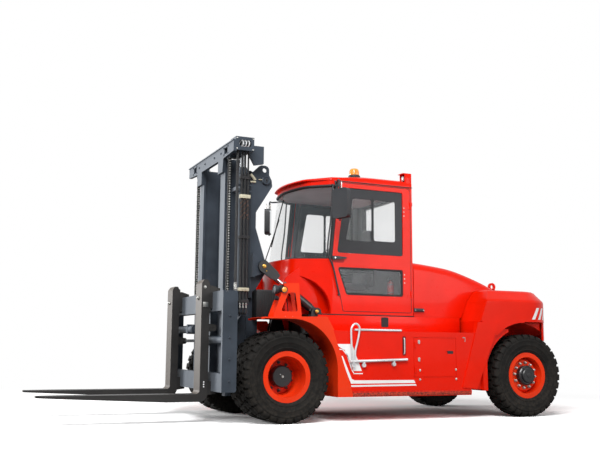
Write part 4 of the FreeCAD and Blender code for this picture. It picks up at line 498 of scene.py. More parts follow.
class Form:
    """A mesh in the making, with the ways of adding shape that the pieces use."""

    def __init__(self) -> None:
        """Starts with nothing."""
        self.mesh = bmesh.new()

    def take(self, part: bmesh.types.BMesh, edge: float = 0.0, steps: int = 2) -> "Form":
        """Rounds a part's sharp edges and adds it.

        Args:
            part: the new shape, used up here.
            edge: how far its edges are rounded.
            steps: segments of the rounding.

        Returns:
            This form.
        """
        if edge:
            sharp = [e for e in part.edges if len(e.link_faces) == 2
                     and e.calc_face_angle(0.0) > math.radians(35)]
            bmesh.ops.bevel(part, geom=sharp, offset=edge, segments=steps, profile=0.5,
                            affect="EDGES", clamp_overlap=True)
        bmesh.ops.recalc_face_normals(part, faces=part.faces)
        holder = bpy.data.meshes.new("holder")
        part.to_mesh(holder)
        part.free()
        self.mesh.from_mesh(holder)
        bpy.data.meshes.remove(holder)
        return self

    def block(self, low: Point, high: Point, edge: float = 0.002,
              turn: Matrix | None = None) -> "Form":
        """A box with rounded edges between two corners, turned about its middle.

        Args:
            low: one corner.
            high: the corner across from it.
            edge: rounding of its edges.
            turn: the turn, or none.

        Returns:
            This form.
        """
        part = bmesh.new()
        low, high = Vector(low), Vector(high)
        size = Matrix.Diagonal((*(abs(a) for a in high - low), 1))
        turn = turn.to_4x4() if turn else Matrix.Identity(4)
        place = Matrix.Translation((low + high) / 2)
        bmesh.ops.create_cube(part, size=1, matrix=place @ turn @ size)
        return self.take(part, edge)

    def slab(self, side: int, x: Point, y: Point, z: Point, edge: float = 0.002,
             turn: Matrix | None = None) -> "Form":
        """A block on one side of the vehicle, from its two ends along each of at()'s coordinates."""
        return self.block(at(x[0], side * y[0], z[0]), at(x[1], side * y[1], z[1]), edge, turn)

    def rod(self, start: Point, end: Point, radius: float, sides: int = 20,
            edge: float = 0.0) -> "Form":
        """A round bar between two points.

        Args:
            start: the first point.
            end: the second point.
            radius: its radius.
            sides: flats round it.
            edge: rounding of its edges.

        Returns:
            This form.
        """
        part = bmesh.new()
        start, end = Vector(start), Vector(end)
        axis = end - start
        turn = axis.to_track_quat("Z", "Y").to_matrix().to_4x4()
        bmesh.ops.create_cone(part, cap_ends=True, segments=sides, radius1=radius, radius2=radius,
                              depth=axis.length, matrix=Matrix.Translation((start + end) / 2) @ turn)
        return self.take(part, edge)

    def bolt(self, foot: Point, axis: Point, across: float = 0.024) -> "Form":
        """A hexagon head on a washer, standing along an axis.

        Args:
            foot: middle of the washer's underside.
            axis: the way it stands.
            across: width of the head over two corners.

        Returns:
            This form.
        """
        foot, axis = Vector(foot), Vector(axis).normalized()
        self.rod(foot, foot + axis * across * 0.12, across * 0.72, sides=16)
        return self.rod(foot, foot + axis * across * 0.62, across * 0.5, sides=6, edge=across * 0.05)

    def lathe(self, profile: Sequence[Point], centre: Point, axis: Point, steps: int = 64,
              closed: bool = False) -> "Form":
        """A profile of radius and distance along an axis, turned round it.

        Args:
            profile: radius and distance of each of its points.
            centre: where the distance is 0.
            axis: the axis.
            steps: segments round it.
            closed: whether the profile's end joins its start.

        Returns:
            This form.
        """
        part = bmesh.new()
        turn = Vector(axis).to_track_quat("Z", "Y").to_matrix()
        rings = []
        for step in range(steps):
            angle = 2 * math.pi * step / steps
            arm = Vector((math.cos(angle), math.sin(angle), 0))
            rings.append([part.verts.new(Vector(centre) + turn @ (arm * r + Vector((0, 0, h))))
                          for r, h in profile])
        stitch(part, rings, closed, True)
        bmesh.ops.remove_doubles(part, verts=part.verts, dist=1e-6)
        return self.take(part)

    def sweep(self, points: Iterable[Point], radius: float, sides: int = 12,
              closed: bool = False) -> "Form":
        """A tube of one radius along a line of points.

        Args:
            points: the line.
            radius: the tube's radius.
            sides: flats round it.
            closed: whether the line's end joins its start.

        Returns:
            This form.
        """
        part = bmesh.new()
        line = [Vector(p) for p in points]
        count = len(line)
        rings: list[list[bmesh.types.BMVert]] = []
        side = None
        for i, spot in enumerate(line):
            before = line[i - 1] if i or closed else spot
            after = line[(i + 1) % count] if i < count - 1 or closed else spot
            way = (after - before).normalized()
            if side is None:
                side = way.orthogonal().normalized()
            side = (side - way * side.dot(way)).normalized()
            other = way.cross(side)
            rings.append([part.verts.new(spot + (side * math.cos(a) + other * math.sin(a)) * radius)
                          for a in (2 * math.pi * k / sides for k in range(sides))])
        stitch(part, rings, True, closed)
        if not closed:
            part.faces.new(rings[0])
            part.faces.new(rings[-1])
        return self.take(part)

    def plate(self, outline: Sequence[Point], axis: str, start: float, end: float,
              edge: float = 0.0) -> "Form":
        """A flat outline between two planes across an axis.

        Args:
            outline: its corners, in the other two coordinates in the order of the alphabet.
            axis: the axis across the plate.
            start: the first plane.
            end: the second plane.
            edge: rounding of its edges.

        Returns:
            This form.
        """
        part = bmesh.new()
        spot = plane_spot(axis)
        return self.take(loft(part, [[part.verts.new(spot(u, v, w)) for u, v in outline]
                                     for w in (start, end)]), edge)

    def band(self, outer: Sequence[Point], inner: Sequence[Point], axis: str, start: float,
             end: float) -> "Form":
        """A frame between two outlines with as many corners, between two planes across an axis.

        Args:
            outer: corners of the outer outline.
            inner: corners of the inner outline.
            axis: the axis across the frame.
            start: the first plane.
            end: the second plane.

        Returns:
            This form.
        """
        part = bmesh.new()
        spot = plane_spot(axis)
        stitch(part, [[part.verts.new(spot(u, v, w)) for u, v in line]
                      for line, w in ((outer, start), (inner, start), (inner, end), (outer, end))],
               True, True)
        return self.take(part)

    def piece(self, name: str, finish: Finish, body: str, replaces: Sequence[str] = (),
              crease: float = 35.0, slot: str | None = None) -> bpy.types.Object:
        """Makes the object, dresses it and lets it ride on a body.

        Args:
            name: the piece's name.
            finish: its surface.
            body: the body that it moves with, or empty where it rides on none or is joined later.
            replaces: CAD nodes that it stands for.
            crease: angle in degrees from which an edge stays sharp.
            slot: the record's material slot, if it isn't the finish's own; it is worked out but not given
                to the piece.

        Returns:
            The new object.
        """
        mesh = bpy.data.meshes.new(name)
        self.mesh.to_mesh(mesh)
        self.mesh.free()
        mesh.shade_smooth()
        mesh.set_sharp_from_angle(angle=math.radians(crease))
        mesh.materials.append(finish.material())
        piece = bpy.data.objects.new(name, mesh)
        bpy.context.scene.collection.objects.link(piece)
        if body:
            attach(piece, body)
        slot = finish.slot if slot is None else slot
        if replaces:
            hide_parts(*replaces)
        LOG.info("%s: %d faces on %s", name, len(mesh.polygons), body)
        return piece


def curve(first: Vector, corner: Vector, last: Vector, steps: int) -> list[Vector]:
    """Points of a curve from the first to the last that a corner pulls towards itself."""
    return [first * (1 - t) ** 2 + corner * 2 * t * (1 - t) + last * t * t
            for t in (step / steps for step in range(steps + 1))]


def bent(corners: Sequence[Point], steps: int) -> list[Vector]:
    """A closed flat line whose corners (x, y, reach) are curves that start and end reach away.

    Args:
        corners: its corners; a reach of 0 keeps one sharp.
        steps: segments of each curve.

    Returns:
        The points of the line.
    """
    line = []
    for k, (x, y, reach) in enumerate(corners):
        spot = Vector((x, y))
        before = (Vector(corners[k - 1][:2]) - spot).normalized() * reach
        after = (Vector(corners[(k + 1) % len(corners)][:2]) - spot).normalized() * reach
        line += curve(spot + before, spot, spot + after, steps) if reach else [spot]
    return line


def rounded(corners: Sequence[Point], radius: float, steps: int = 5) -> list[tuple[float, float]]:
    """An outline with its corners rounded.

    Args:
        corners: the outline's corners in order.
        radius: the rounding, less where a side is short.
        steps: segments of each rounding.

    Returns:
        The points of the new outline.
    """
    out = []
    count = len(corners)
    for i, corner in enumerate(corners):
        spot = Vector(corner).to_2d()
        before = Vector(corners[i - 1]).to_2d() - spot
        after = Vector(corners[(i + 1) % count]).to_2d() - spot
        reach = min(radius, before.length * 0.45, after.length * 0.45)
        first, last = spot + before.normalized() * reach, spot + after.normalized() * reach
        out += [(bend.x, bend.y) for bend in curve(first, spot, last, steps)]
    return out


def smooth(points: Sequence[Point], steps: int = 6) -> list[Vector]:
    """Points of a smooth line through the given ones.

    Args:
        points: the given ones, in order.
        steps: segments between two of them.

    Returns:
        The points of the line.
    """
    line = [Vector(p) for p in points]
    ends = [line[0] * 2 - line[1], *line, line[-1] * 2 - line[-2]]
    out = []
    for i in range(1, len(ends) - 2):
        a, b, c, e = ends[i - 1:i + 3]
        for k in range(steps):
            t = k / steps
            out.append(0.5 * (2 * b + (c - a) * t + (2 * a - 5 * b + 4 * c - e) * t * t
                              + (3 * b - a - 3 * c + e) * t ** 3))
    return [*out, line[-1]]


def trail(side: int, *points: Point) -> list[Vector]:
    """A smooth line through points given as at() takes them, on the left or mirrored."""
    return smooth([at(x, side * y, z) for x, y, z in points])


# ------------------------------------------------------------------------------- wheels


@dataclass
class Tyre:
    """A block-tread tyre, turned and lugged round its wheel's axis."""

    middle: Vector
    radius: float = 0.5445
    block_edge: float = 0.004
    carcass: float = 0.523
    half: float = 0.1555
    bead: float = 0.256
    blocks: int = 30
    steps: int = 96

    def walls(self, form: Form) -> None:
        """Adds the carcass with its sidewall ribs.

        Args:
            form: the form that takes them.
        """
        side = [
            (self.bead, 0.104), (0.299, 0.1095), (0.305, 0.121), (0.318, 0.131), (0.334, 0.139),
            (0.338, 0.144), (0.346, 0.1445), (0.350, 0.1405), (0.372, 0.1470), (0.398, 0.1520),
            (0.401, 0.1545), (0.408, 0.1548), (0.411, 0.1525), (0.432, self.half - 0.002),
            (0.452, 0.1530), (0.456, 0.1550), (0.470, 0.1545), (0.474, 0.1505), (0.490, 0.1470),
            (0.506, 0.1400), (0.517, 0.1290), (self.carcass, 0.1120), (self.carcass, 0.0),
        ]
        section = side + [(r, -y) for r, y in reversed(side[:-1])]
        form.lathe(section, self.middle, (0, 1, 0), self.steps, closed=True)

    def block(self, form: Form, profile: Sequence[Point], turn: float, wide: float,
              slant: float) -> None:
        """Adds one tread block.

        Args:
            form: the mesh in the making.
            profile: its section as radius and distance from the tyre's middle.
            turn: angle of its middle.
            wide: angle that it takes at the tread.
            slant: angle that it leans by from the shoulder to the middle.
        """
        part = bmesh.new()
        ends: list[list[bmesh.types.BMVert]] = []
        for share in (-0.5, 0.5):
            ring = []
            for radius, offset in profile:
                flare = 1.0 + (self.radius - radius) * 3.0
                angle = turn + share * wide * flare + slant * (1 - abs(offset) / self.half)
                spot = Vector((math.cos(angle) * radius, offset, math.sin(angle) * radius))
                ring.append(part.verts.new(self.middle + spot))
            ends.append(ring)
        form.take(loft(part, ends), self.block_edge, 1)

    def tread(self, form: Form) -> None:
        """Adds the shoulder blocks and the two rows of centre blocks.

        Args:
            form: the form that takes them.
        """
        pitch = 2 * math.pi / self.blocks
        top = self.radius
        shoulder = [(0.478, 0.148), (0.497, 0.1535), (0.516, 0.1500), (0.534, 0.1400),
                    (top, 0.1240), (top, 0.062), (0.512, 0.060), (0.490, 0.120)]
        centre = [(top, 0.054), (top, 0.006), (0.512, 0.006), (0.512, 0.054)]
        for k in range(self.blocks):
            for side in (1, -1):
                turn = k * pitch + (0.25 * pitch if side > 0 else -0.25 * pitch)
                self.block(form, [(r, y * side) for r, y in shoulder], turn, pitch * 0.66,
                           side * 0.03)
                self.block(form, [(r, y * side) for r, y in centre], turn + pitch * 0.42,
                           pitch * 0.62, side * 0.06)

    def add(self, form: Form) -> None:
        """Adds the whole tyre to a form."""
        self.walls(form)
        self.tread(form)


@dataclass
class Wheels:
    """Tyres, nuts and valves of the dual drive wheels and the steered wheels."""

    dual_track: float = 0.893
    dual_half: float = 0.1725
    steer_x: float = -3.5
    steer_track: float = 1.093
    nut_circle: float = 0.1675
    nuts: int = 12
    dual_seat: float = 0.026
    dual_cap: float = 0.152
    steer_seat: float = 0.056
    steer_cap: float = 0.130
    cap_circle: float = 0.112

    def nut_ring(self, centre: Vector, out: int, name: str, body: str, finish: Finish,
                 nuts: int, phase: float) -> None:
        """A ring of wheel nuts on their studs.

        Args:
            centre: middle of the seat that the nuts stand on.
            out: +1 or -1 along Y, away from the vehicle.
            name: the piece's name.
            body: the wheel.
            finish: the nuts' finish.
            nuts: how many.
            phase: angle of the first.
        """
        form = Form()
        for k in range(nuts):
            angle = phase + 2 * math.pi * k / nuts
            foot = centre + Vector((math.cos(angle), 0, math.sin(angle))) * self.nut_circle
            form.lathe([(0.0, 0.006), (0.019, 0.006), (0.021, 0.0), (0.0, 0.0)], foot, (0, out, 0), 14)
            form.rod(foot, foot + Vector((0, out * 0.026, 0)), 0.0165, sides=6, edge=0.0015)
            form.rod(foot, foot + Vector((0, out * 0.038, 0)), 0.0095, sides=10, edge=0.001)
        form.piece(name, finish, body)

    def valve(self, foot: Vector, out: int, name: str, body: str) -> None:
        """A bent valve stem with its cap.

        Args:
            foot: where it leaves the rim.
            out: 1 or -1, the way it points along the axle.
            name: the piece's name.
            body: the body that it moves with.
        """
        form = Form()
        form.sweep(smooth([foot, foot + Vector((0, out * 0.03, -0.004)),
                           foot + Vector((0, out * 0.055, -0.022))]), 0.004, 8)
        tip = foot + Vector((0, out * 0.055, -0.022))
        form.rod(tip, tip + Vector((0, out * 0.012, -0.010)), 0.006, sides=10, edge=0.001)
        form.piece(name, BRASS, body)

    def front(self, name: str, side: int) -> None:
        """The dual drive wheels of one side, with their nuts, valve and cap plug.

        Args:
            name: left or right.
            side: 1 for the left, -1 for the right.
        """
        body = f"front_{name}_wheel"
        form = Form()
        for out in (side, -side):
            Tyre(at(0, side * self.dual_track + out * self.dual_half, WHEEL_Z)).add(form)
        form.piece(f"front_{name}_tread", RUBBER, body, [f"front_{name}_tyres"], 30)
        seat = at(0, side * (self.dual_track + self.dual_seat), WHEEL_Z)
        self.nut_ring(seat, side, f"front_{name}_nuts", body, HUB_BLACK, 10, 0.3)
        self.valve(at(0.212, side * 1.005, WHEEL_Z + 0.06), side, f"front_{name}_valve", body)
        cap = Form()
        face = side * (self.dual_track + self.dual_cap)
        cap.lathe([(0.0, 0.010), (0.014, 0.010), (0.018, 0.004), (0.018, -0.002)],
                  at(0, face, WHEEL_Z), (0, side, 0), 16)
        grease = at(0.030, face, WHEEL_Z + 0.026)
        cap.rod(grease, grease + Vector((0, side * 0.006, 0)), 0.007, sides=6)
        cap.piece(f"front_{name}_cap_plug", STEEL, body)

    def rear(self, name: str, side: int) -> None:
        """The steered wheel of one side, with its nuts, valve and cap bolts.

        Args:
            name: left or right.
            side: 1 for the left, -1 for the right.
        """
        body = f"rear_{name}_wheel"
        form = Form()
        Tyre(at(self.steer_x, side * self.steer_track, WHEEL_Z)).add(form)
        form.piece(f"rear_{name}_tread", RUBBER, body, [f"rear_{name}_tyre"], 30)
        seat = at(self.steer_x, side * (self.steer_track + self.steer_seat), WHEEL_Z)
        self.nut_ring(seat, side, f"rear_{name}_nuts", body, STEEL, self.nuts, 0.1)
        self.valve(at(self.steer_x + 0.215, side * 1.15, WHEEL_Z + 0.05), side,
                   f"rear_{name}_valve", body)
        hub = Form()
        for k in range(8):
            angle = math.pi / 4 * k + 0.2
            hub.bolt(at(self.steer_x + self.cap_circle * math.cos(angle),
                        side * (self.steer_track + self.steer_cap),
                        WHEEL_Z + self.cap_circle * math.sin(angle)), (0, side, 0), 0.016)
        hub.lathe([(0.0, 0.008), (0.03, 0.007), (0.034, 0.0)],
                  at(self.steer_x, side * (self.steer_track + 0.158), WHEEL_Z), (0, side, 0), 24)
        hub.piece(f"rear_{name}_cap_bolts", HUB_BLACK, body)

    def build(self) -> None:
        """Builds both sides."""
        for name, side in SIDES.items():
            self.front(name, side)
            self.rear(name, side)


# --------------------------------------------------------------------------------- mast


@dataclass
class LeafChain:
    """A leaf chain with its plates and pins, standing upright or wrapped over a sheave."""

    pitch: float = 0.0331
    plate: float = 0.0165
    thick: float = 0.0050
    offsets: tuple[float, ...] = (-0.0180, -0.0120, -0.0060, 0.0, 0.0060, 0.0120, 0.0180)
    pin: float = 0.0105
    pin_half: float = 0.0300

    def link(self, form: Form, start: Vector, end: Vector, odd: bool) -> None:
        """Adds the plates between two pins.

        Args:
            form: the form that takes them.
            start: the first pin.
            end: the second pin.
            odd: whether the plates stand in the gaps of the links beside it.
        """
        along = (end - start).normalized()
        across = along.cross(Vector((0, 1, 0)))
        rows = self.offsets[1::2] if odd else self.offsets[::2]
        for offset in rows:
            part = bmesh.new()
            rings = []
            for rise in (-self.thick / 2, self.thick / 2):
                ring = []
                for middle, begin in ((end, -90), (start, 90)):
                    for k in range(5):
                        angle = math.radians(begin + 45 * k)
                        arm = along * math.cos(angle) + across * math.sin(angle)
                        ring.append(part.verts.new(
                            middle + arm * self.plate + Vector((0, offset + rise, 0))))
                rings.append(ring)
            form.take(loft(part, rings))

    def strand(self, line: Sequence[Vector], name: str) -> bpy.types.Object:
        """A chain along pins, as two pieces joined: its plates, and its bright pin ends.

        Args:
            line: the places of its pins.
            name: the piece's name.

        Returns:
            The strand, which rides on nothing yet.
        """
        plates = Form()
        pins = Form()
        for k, spot in enumerate(line[:-1]):
            self.link(plates, spot, line[k + 1], k % 2 == 1)
        for spot in line:
            reach = Vector((0, self.pin_half, 0))
            pins.rod(spot - reach, spot + reach, self.pin, sides=10, edge=0.001)
        chain = plates.piece(name, CHAIN, "")
        ends = pins.piece(f"{name}_pins", STEEL, "", slot="")
        both = {"active_object": chain, "selected_editable_objects": [chain, ends]}
        with bpy.context.temp_override(**both):
            bpy.ops.object.join()
        return chain

    def upright(self, x: float, y: float, low: float, high: float, name: str) -> bpy.types.Object:
        """A straight strand from low to high.

        Args:
            x: its place along the vehicle, as at() takes it.
            y: its place across the vehicle.
            low: its lower end.
            high: its upper end.
            name: the piece's name.

        Returns:
            The strand, which rides on nothing.
        """
        count = max(2, round((high - low) / self.pitch))
        line = [at(x, y, low + (high - low) * k / count) for k in range(count + 1)]
        return self.strand(line, name)


@dataclass
class HoseLine:
    """Radius of the hydraulic hoses, and their crimped steel fittings."""

    radius: float = 0.0115
    fitting_scale: float = 0.76

    def fitting(self, form: Form, foot: Vector, head: Vector) -> None:
        """Adds a crimped ferrule with its hexagons between two points.

        Args:
            form: the form that takes it.
            foot: the ferrule's end.
            head: the end across from it.
        """
        way = head - foot
        axis = way.normalized()
        profile = [(0.0, 0.0), (0.0150, 0.0), (0.0155, 0.12), (0.0135, 0.14), (0.0155, 0.17),
                   (0.0155, 0.42), (0.0100, 0.45), (0.0100, 0.86), (0.0145, 0.88), (0.0145, 1.0),
                   (0.0, 1.0)]
        form.lathe([(r * self.fitting_scale, h * way.length) for r, h in profile], foot, axis, 20)
        for low, high in ((0.44, 0.56), (0.66, 0.76)):
            form.rod(foot + way * low, foot + way * high, 0.0165 * self.fitting_scale, sides=6, edge=0.001)


@dataclass
class MastDress:
    """Chains, hoses, fasteners and guards of the mast, and the ends of its tilt rods."""

    chain_track: float = 0.656
    chain_x: float = 0.587
    rear_chain_x: float = 0.437
    sheave: tuple[float, float] = (0.512, 3.31)
    sheave_radius: float = 0.075
    chain_foot: float = 1.50
    base_anchor: float = 2.875
    hose_y: float = 0.870
    hose_xs: tuple[float, ...] = (0.415, 0.455, 0.495)
    neck: float = 3.0
    rail_face: float = 0.8425
    boss_x: float = 0.085
    cylinder: tuple[float, float] = (0.45, 0.77)
    front_hose_x: float = 0.562
    front_hose_ys: tuple[float, ...] = (0.870, 0.905)

    def chains(self) -> None:
        """Front strands, wraps over the sheaves and rear strands with their anchors."""
        chain = LeafChain()
        x, z = self.sheave
        for name, side in SIDES.items():
            y = side * self.chain_track
            front = chain.upright(self.chain_x, y, self.chain_foot + 0.06, z - 0.035,
                                  f"chain_front_{name}")
            at(self.chain_x, y, z - 0.10)
            at(self.chain_x, y, self.chain_foot + 0.08)
            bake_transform(front)
            rear = chain.upright(self.rear_chain_x, y, self.base_anchor + 0.10, z - 0.035,
                                 f"chain_rear_{name}")
            at(self.rear_chain_x, y, self.base_anchor + 0.1)
            at(self.rear_chain_x, y, z - 0.06)
            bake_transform(rear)
            if side > 0:
                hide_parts("chains_front")
                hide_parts("chains_rear")
            count = round(math.pi * self.sheave_radius / chain.pitch)
            wrap = [at(x + self.sheave_radius * math.cos(math.pi * k / count), y,
                       z + self.sheave_radius * math.sin(math.pi * k / count))
                    for k in range(count + 1)]
            over = chain.strand([at(self.chain_x, y, z - 0.035), *wrap,
                                 at(self.rear_chain_x, y, z - 0.035)], f"chain_wrap_{name}")
            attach(over, "mast_upper")
            self.anchors(name, y)

    def anchors(self, name: str, y: float) -> None:
        """Threaded chain anchors with their lock nuts at the carriage and the outer mast.

        Args:
            name: left or right.
            y: their place across the vehicle.
        """
        for label, body, x, foot, head in (
                ("carriage", "fork_carriage", self.chain_x, self.chain_foot - 0.10,
                 self.chain_foot + 0.06),
                ("base", "mast_base", self.rear_chain_x, self.base_anchor - 0.04,
                 self.base_anchor + 0.10)):
            form = Form()
            form.block(at(x - 0.014, y - 0.023, head - 0.06), at(x + 0.014, y + 0.023, head + 0.012),
                       0.004)
            form.rod(at(x, y, foot), at(x, y, head - 0.05), 0.0115, sides=16)
            for nut in (foot + 0.02, foot + 0.042):
                form.rod(at(x, y, nut), at(x, y, nut + 0.018), 0.021, sides=6, edge=0.002)
            form.piece(f"chain_anchor_{label}_{name}", STEEL, body)

    def hoses(self) -> None:
        """Fittings, sleeves, clamps and tails of the hoses on the left of the mast."""
        line = HoseLine()
        y = self.hose_y
        metal = Form()
        for x in self.hose_xs:
            line.fitting(metal, at(x, y, 2.735), at(x, y, 2.975))
            line.fitting(metal, at(x, y, 2.44), at(x, y, 2.20))
            line.fitting(metal, at(x, y, 1.52), at(x, y, 1.355))
        metal.piece("mast_hose_fittings", STEEL, "mast_base")
        sleeves = Form()
        for k, x in enumerate(self.hose_xs):
            swing = [at(x + 0.010 * math.sin(k * 2.1 + t * 1.15 * math.pi),
                        y + 0.010 * math.cos(k * 2.1 + t * 1.15 * math.pi), 2.44 + 0.295 * t / 12)
                     for t in range(13)]
            sleeves.sweep(swing, 0.0135, 12)
        sleeves.piece("hose_sleeves", SLEEVE, "mast_base")
        ribs = Form()
        for x in self.hose_xs:
            for k in range(37):
                ribs.lathe([(0.0110, 0.0), (0.0135, 0.004), (0.0135, 0.008), (0.0110, 0.012)],
                           at(x, y, 1.62 + 0.0155 * k), (0, 0, 1), 14)
        ribs.piece("hose_guards", SEAL, "mast_base", slot="hose_rubber")
        clamps = Form()
        low, high = self.hose_xs[0] - 0.028, self.hose_xs[-1] + 0.028
        for rise, tall in ((2.70, 0.045), (1.56, 0.04)):
            clamps.block(at(low, y - 0.026, rise), at(high, y + 0.026, rise + tall), 0.004)
            for x in self.hose_xs[:2]:
                clamps.bolt(at(x + 0.02, y + 0.026, rise + tall / 2), (0, 1, 0), 0.012)
        clamps.piece("hose_clamps", CREAM, "mast_base")
        tails = Form()
        for x in self.hose_xs:
            tails.sweep(smooth([at(x, y, 1.36), at(x, y - 0.002, 1.312),
                                at(x * 0.6 + 0.188, y * 0.6 + 0.316, 1.285),
                                at(0.470, 0.790, 1.275)]), line.radius, 12)
        tails.piece("hose_tails", HOSE, "mast_base")
        self.running_hoses(line)

    def running_hoses(self, line: HoseLine) -> None:
        """Hoses up to the inner mast and down to the carriage, with their fittings there.

        Args:
            line: radius and fittings of the hoses.
        """
        x = self.front_hose_x
        for k, y in enumerate(self.front_hose_ys):
            front = Form().sweep([at(x, y, 1.66 + 1.655 * t / 24) for t in range(25)], line.radius)
            hose = front.piece(f"front_hose_{k}", HOSE, "")
            at(x, y, 3.20)
            at(x, y, 1.70)
            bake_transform(hose)
            if not k:
                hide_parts("hoses_front")
            metal = Form()
            line.fitting(metal, at(x, y, 1.66), at(x, y, 1.50))
            metal.piece(f"front_hose_fitting_{k}", STEEL, "fork_carriage")
        for k, hose_x in enumerate(self.hose_xs):
            rear = Form().sweep([at(hose_x, self.hose_y, self.neck - 0.03 + 0.34 * t / 12)
                                 for t in range(13)], line.radius)
            hose = rear.piece(f"rear_hose_{k}", HOSE, "")
            at(hose_x, self.hose_y, self.neck)
            at(hose_x, self.hose_y, self.neck + 0.28)
            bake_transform(hose)
            if not k:
                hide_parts("hoses_rear")

    def base(self) -> None:
        """Builds what stands on the outer stage, and the ends of the tilt rods."""
        for name, side in SIDES.items():
            self.guards(name, side)
            self.clevis(name, side)
            self.boss(name, side)
            self.cylinder_dress(name, side)

    def guards(self, name: str, side: int) -> None:
        """The web beside one rail, its ribbed guard and its bolts.

        Args:
            name: left or right.
            side: 1 for the left, -1 for the right.
        """
        guard = Form()
        guard.slab(side, (-0.035, 0.225), (0.565, 0.715), (1.235, 1.600), 0.012)
        web = Form().slab(side, (0.150, 0.300), (0.548, 0.562), (0.960, 1.500), 0.002)
        web.piece(f"mast_web_{name}", SLATE, "mast_base")
        for k in range(11):
            x = -0.020 + 0.023 * k
            guard.slab(side, (x, x + 0.011), (0.711, 0.721), (1.250, 1.585))
        guard.piece(f"hose_guard_box_{name}", SEAL, "mast_base")
        metal = Form()
        for z in (2.87, 2.79):
            for x in (0.375, 0.525):
                metal.bolt(at(x, side * self.rail_face, z), (0, side, 0), 0.022)
        for x in (0.40, 0.48):
            metal.bolt(at(x, side * self.rail_face, 1.30), (0, side, 0), 0.022)
        metal.piece(f"outer_mast_bolts_{name}", SLATE, "mast_base")

    def boss(self, name: str, side: int) -> None:
        """The chain boss with its keyhole, a thin dark sheet of painted shade, and the sensors behind it.

        Args:
            name: left or right.
            side: 1 for the left, -1 for the right.
        """
        boss = Form()
        boss.lathe([(0.0, 0.030), (0.014, 0.030), (0.016, 0.024), (0.034, 0.024), (0.040, 0.030),
                    (0.052, 0.030), (0.058, 0.022), (0.058, 0.0)],
                   at(self.boss_x, side * 0.630, 3.0), (0, side, 0), 40)
        boss.slab(side, (0.079, 0.091), (0.645, 0.6605), (2.962, 2.988), 0.001)
        boss.piece(f"chain_boss_{name}", SLATE, "mast_base")
        # The keyhole is a dark sheet on the boss's face: painted shade in place of a hole.
        hole = Form()
        hole.lathe([(0.0, 0.002), (0.013, 0.002), (0.014, 0.0)],
                   at(self.boss_x, side * 0.6600, 3.004), (0, side, 0), 24)
        hole.slab(side, (0.0795, 0.0905), (0.6605, 0.6620), (2.968, 3.004), 0.0005)
        hole.piece(f"boss_keyhole_shade_{name}", SEAL, "mast_base")
        sensor = Form()
        sensor.rod(at(0.300, side * 0.648, 3.062), at(0.236, side * 0.648, 2.990), 0.019,
                   edge=0.004)
        sensor.rod(at(0.300, side * 0.640, 2.968), at(0.225, side * 0.640, 2.968), 0.012,
                   edge=0.002)
        sensor.rod(at(0.190, side * 0.645, 3.004), at(0.120, side * 0.645, 3.004), 0.006)
        sensor.piece(f"mast_sensor_{name}", CREAM, "mast_base")

    def cylinder_dress(self, name: str, side: int) -> None:
        """Collars of one lift cylinder, its block and its pipe.

        Args:
            name: left or right.
            side: 1 for the left, -1 for the right.
        """
        x, y = self.cylinder
        gland = Form()
        gland.lathe([(0.064, 0.0), (0.069, 0.003), (0.069, 0.040), (0.064, 0.044)],
                    at(x, side * y, 3.02), (0, 0, 1), 36)
        gland.lathe([(0.063, 0.0), (0.068, 0.003), (0.068, 0.028), (0.063, 0.031)],
                    at(x, side * y, 1.36), (0, 0, 1), 36)
        gland.slab(side, (0.385, 0.445), (0.825, 0.862), (1.40, 1.47), 0.006)
        gland.piece(f"lift_cylinder_collars_{name}", SLATE, "mast_base")
        pipe = Form()
        pipe.sweep(trail(side, (0.405, 0.80, 1.47), (0.375, 0.78, 1.56), (0.350, 0.700, 1.60),
                         (0.310, 0.620, 1.56), (0.290, 0.560, 1.45),
                         (0.240, 0.480, 1.40)), 0.012)
        pipe.piece(f"lift_pipe_{name}", SEAL, "mast_base", slot="hose_rubber")

    def clevis(self, name: str, side: int) -> None:
        """Outer cheek of the tilt rod's clevis, and the caps of its pins and of a bolt.

        Args:
            name: left or right.
            side: 1 for the left, -1 for the right.
        """
        pin, foot = Vector((0.140, 1.885)), Vector((-0.600, 1.345))
        way = (foot - pin).normalized()
        across = Vector((-way.y, way.x))
        turns = (math.pi * k / 12 for k in range(13))
        cheek = [pin + (across * math.cos(turn) - way * math.sin(turn)) * 0.074 for turn in turns]
        cheek += [pin + way * along + across * wide for along, wide in
                  ((0.17, -0.062), (0.235, -0.040), (0.235, 0.040), (0.17, 0.062))]
        form = Form().plate(ahead(cheek), "y", side * 0.731, side * 0.765, 0.006)
        form.piece(f"tilt_clevis_{name}", HUB_BLACK, "tilt_rods")
        gold = Form()
        for spot, size, face in ((pin, 0.027, 0.765), (foot, 0.027, 0.728),
                                 (pin + way * 0.055 + across * 0.030, 0.010, 0.765)):
            gold.lathe([(0.0, 0.010), (size * 0.7, 0.010), (size * 0.92, 0.006), (size, 0.0)],
                       at(spot.x, side * face, spot.y), (0, side, 0), 24)
        gold.piece(f"tilt_pin_caps_{name}", BRASS, "tilt_rods")

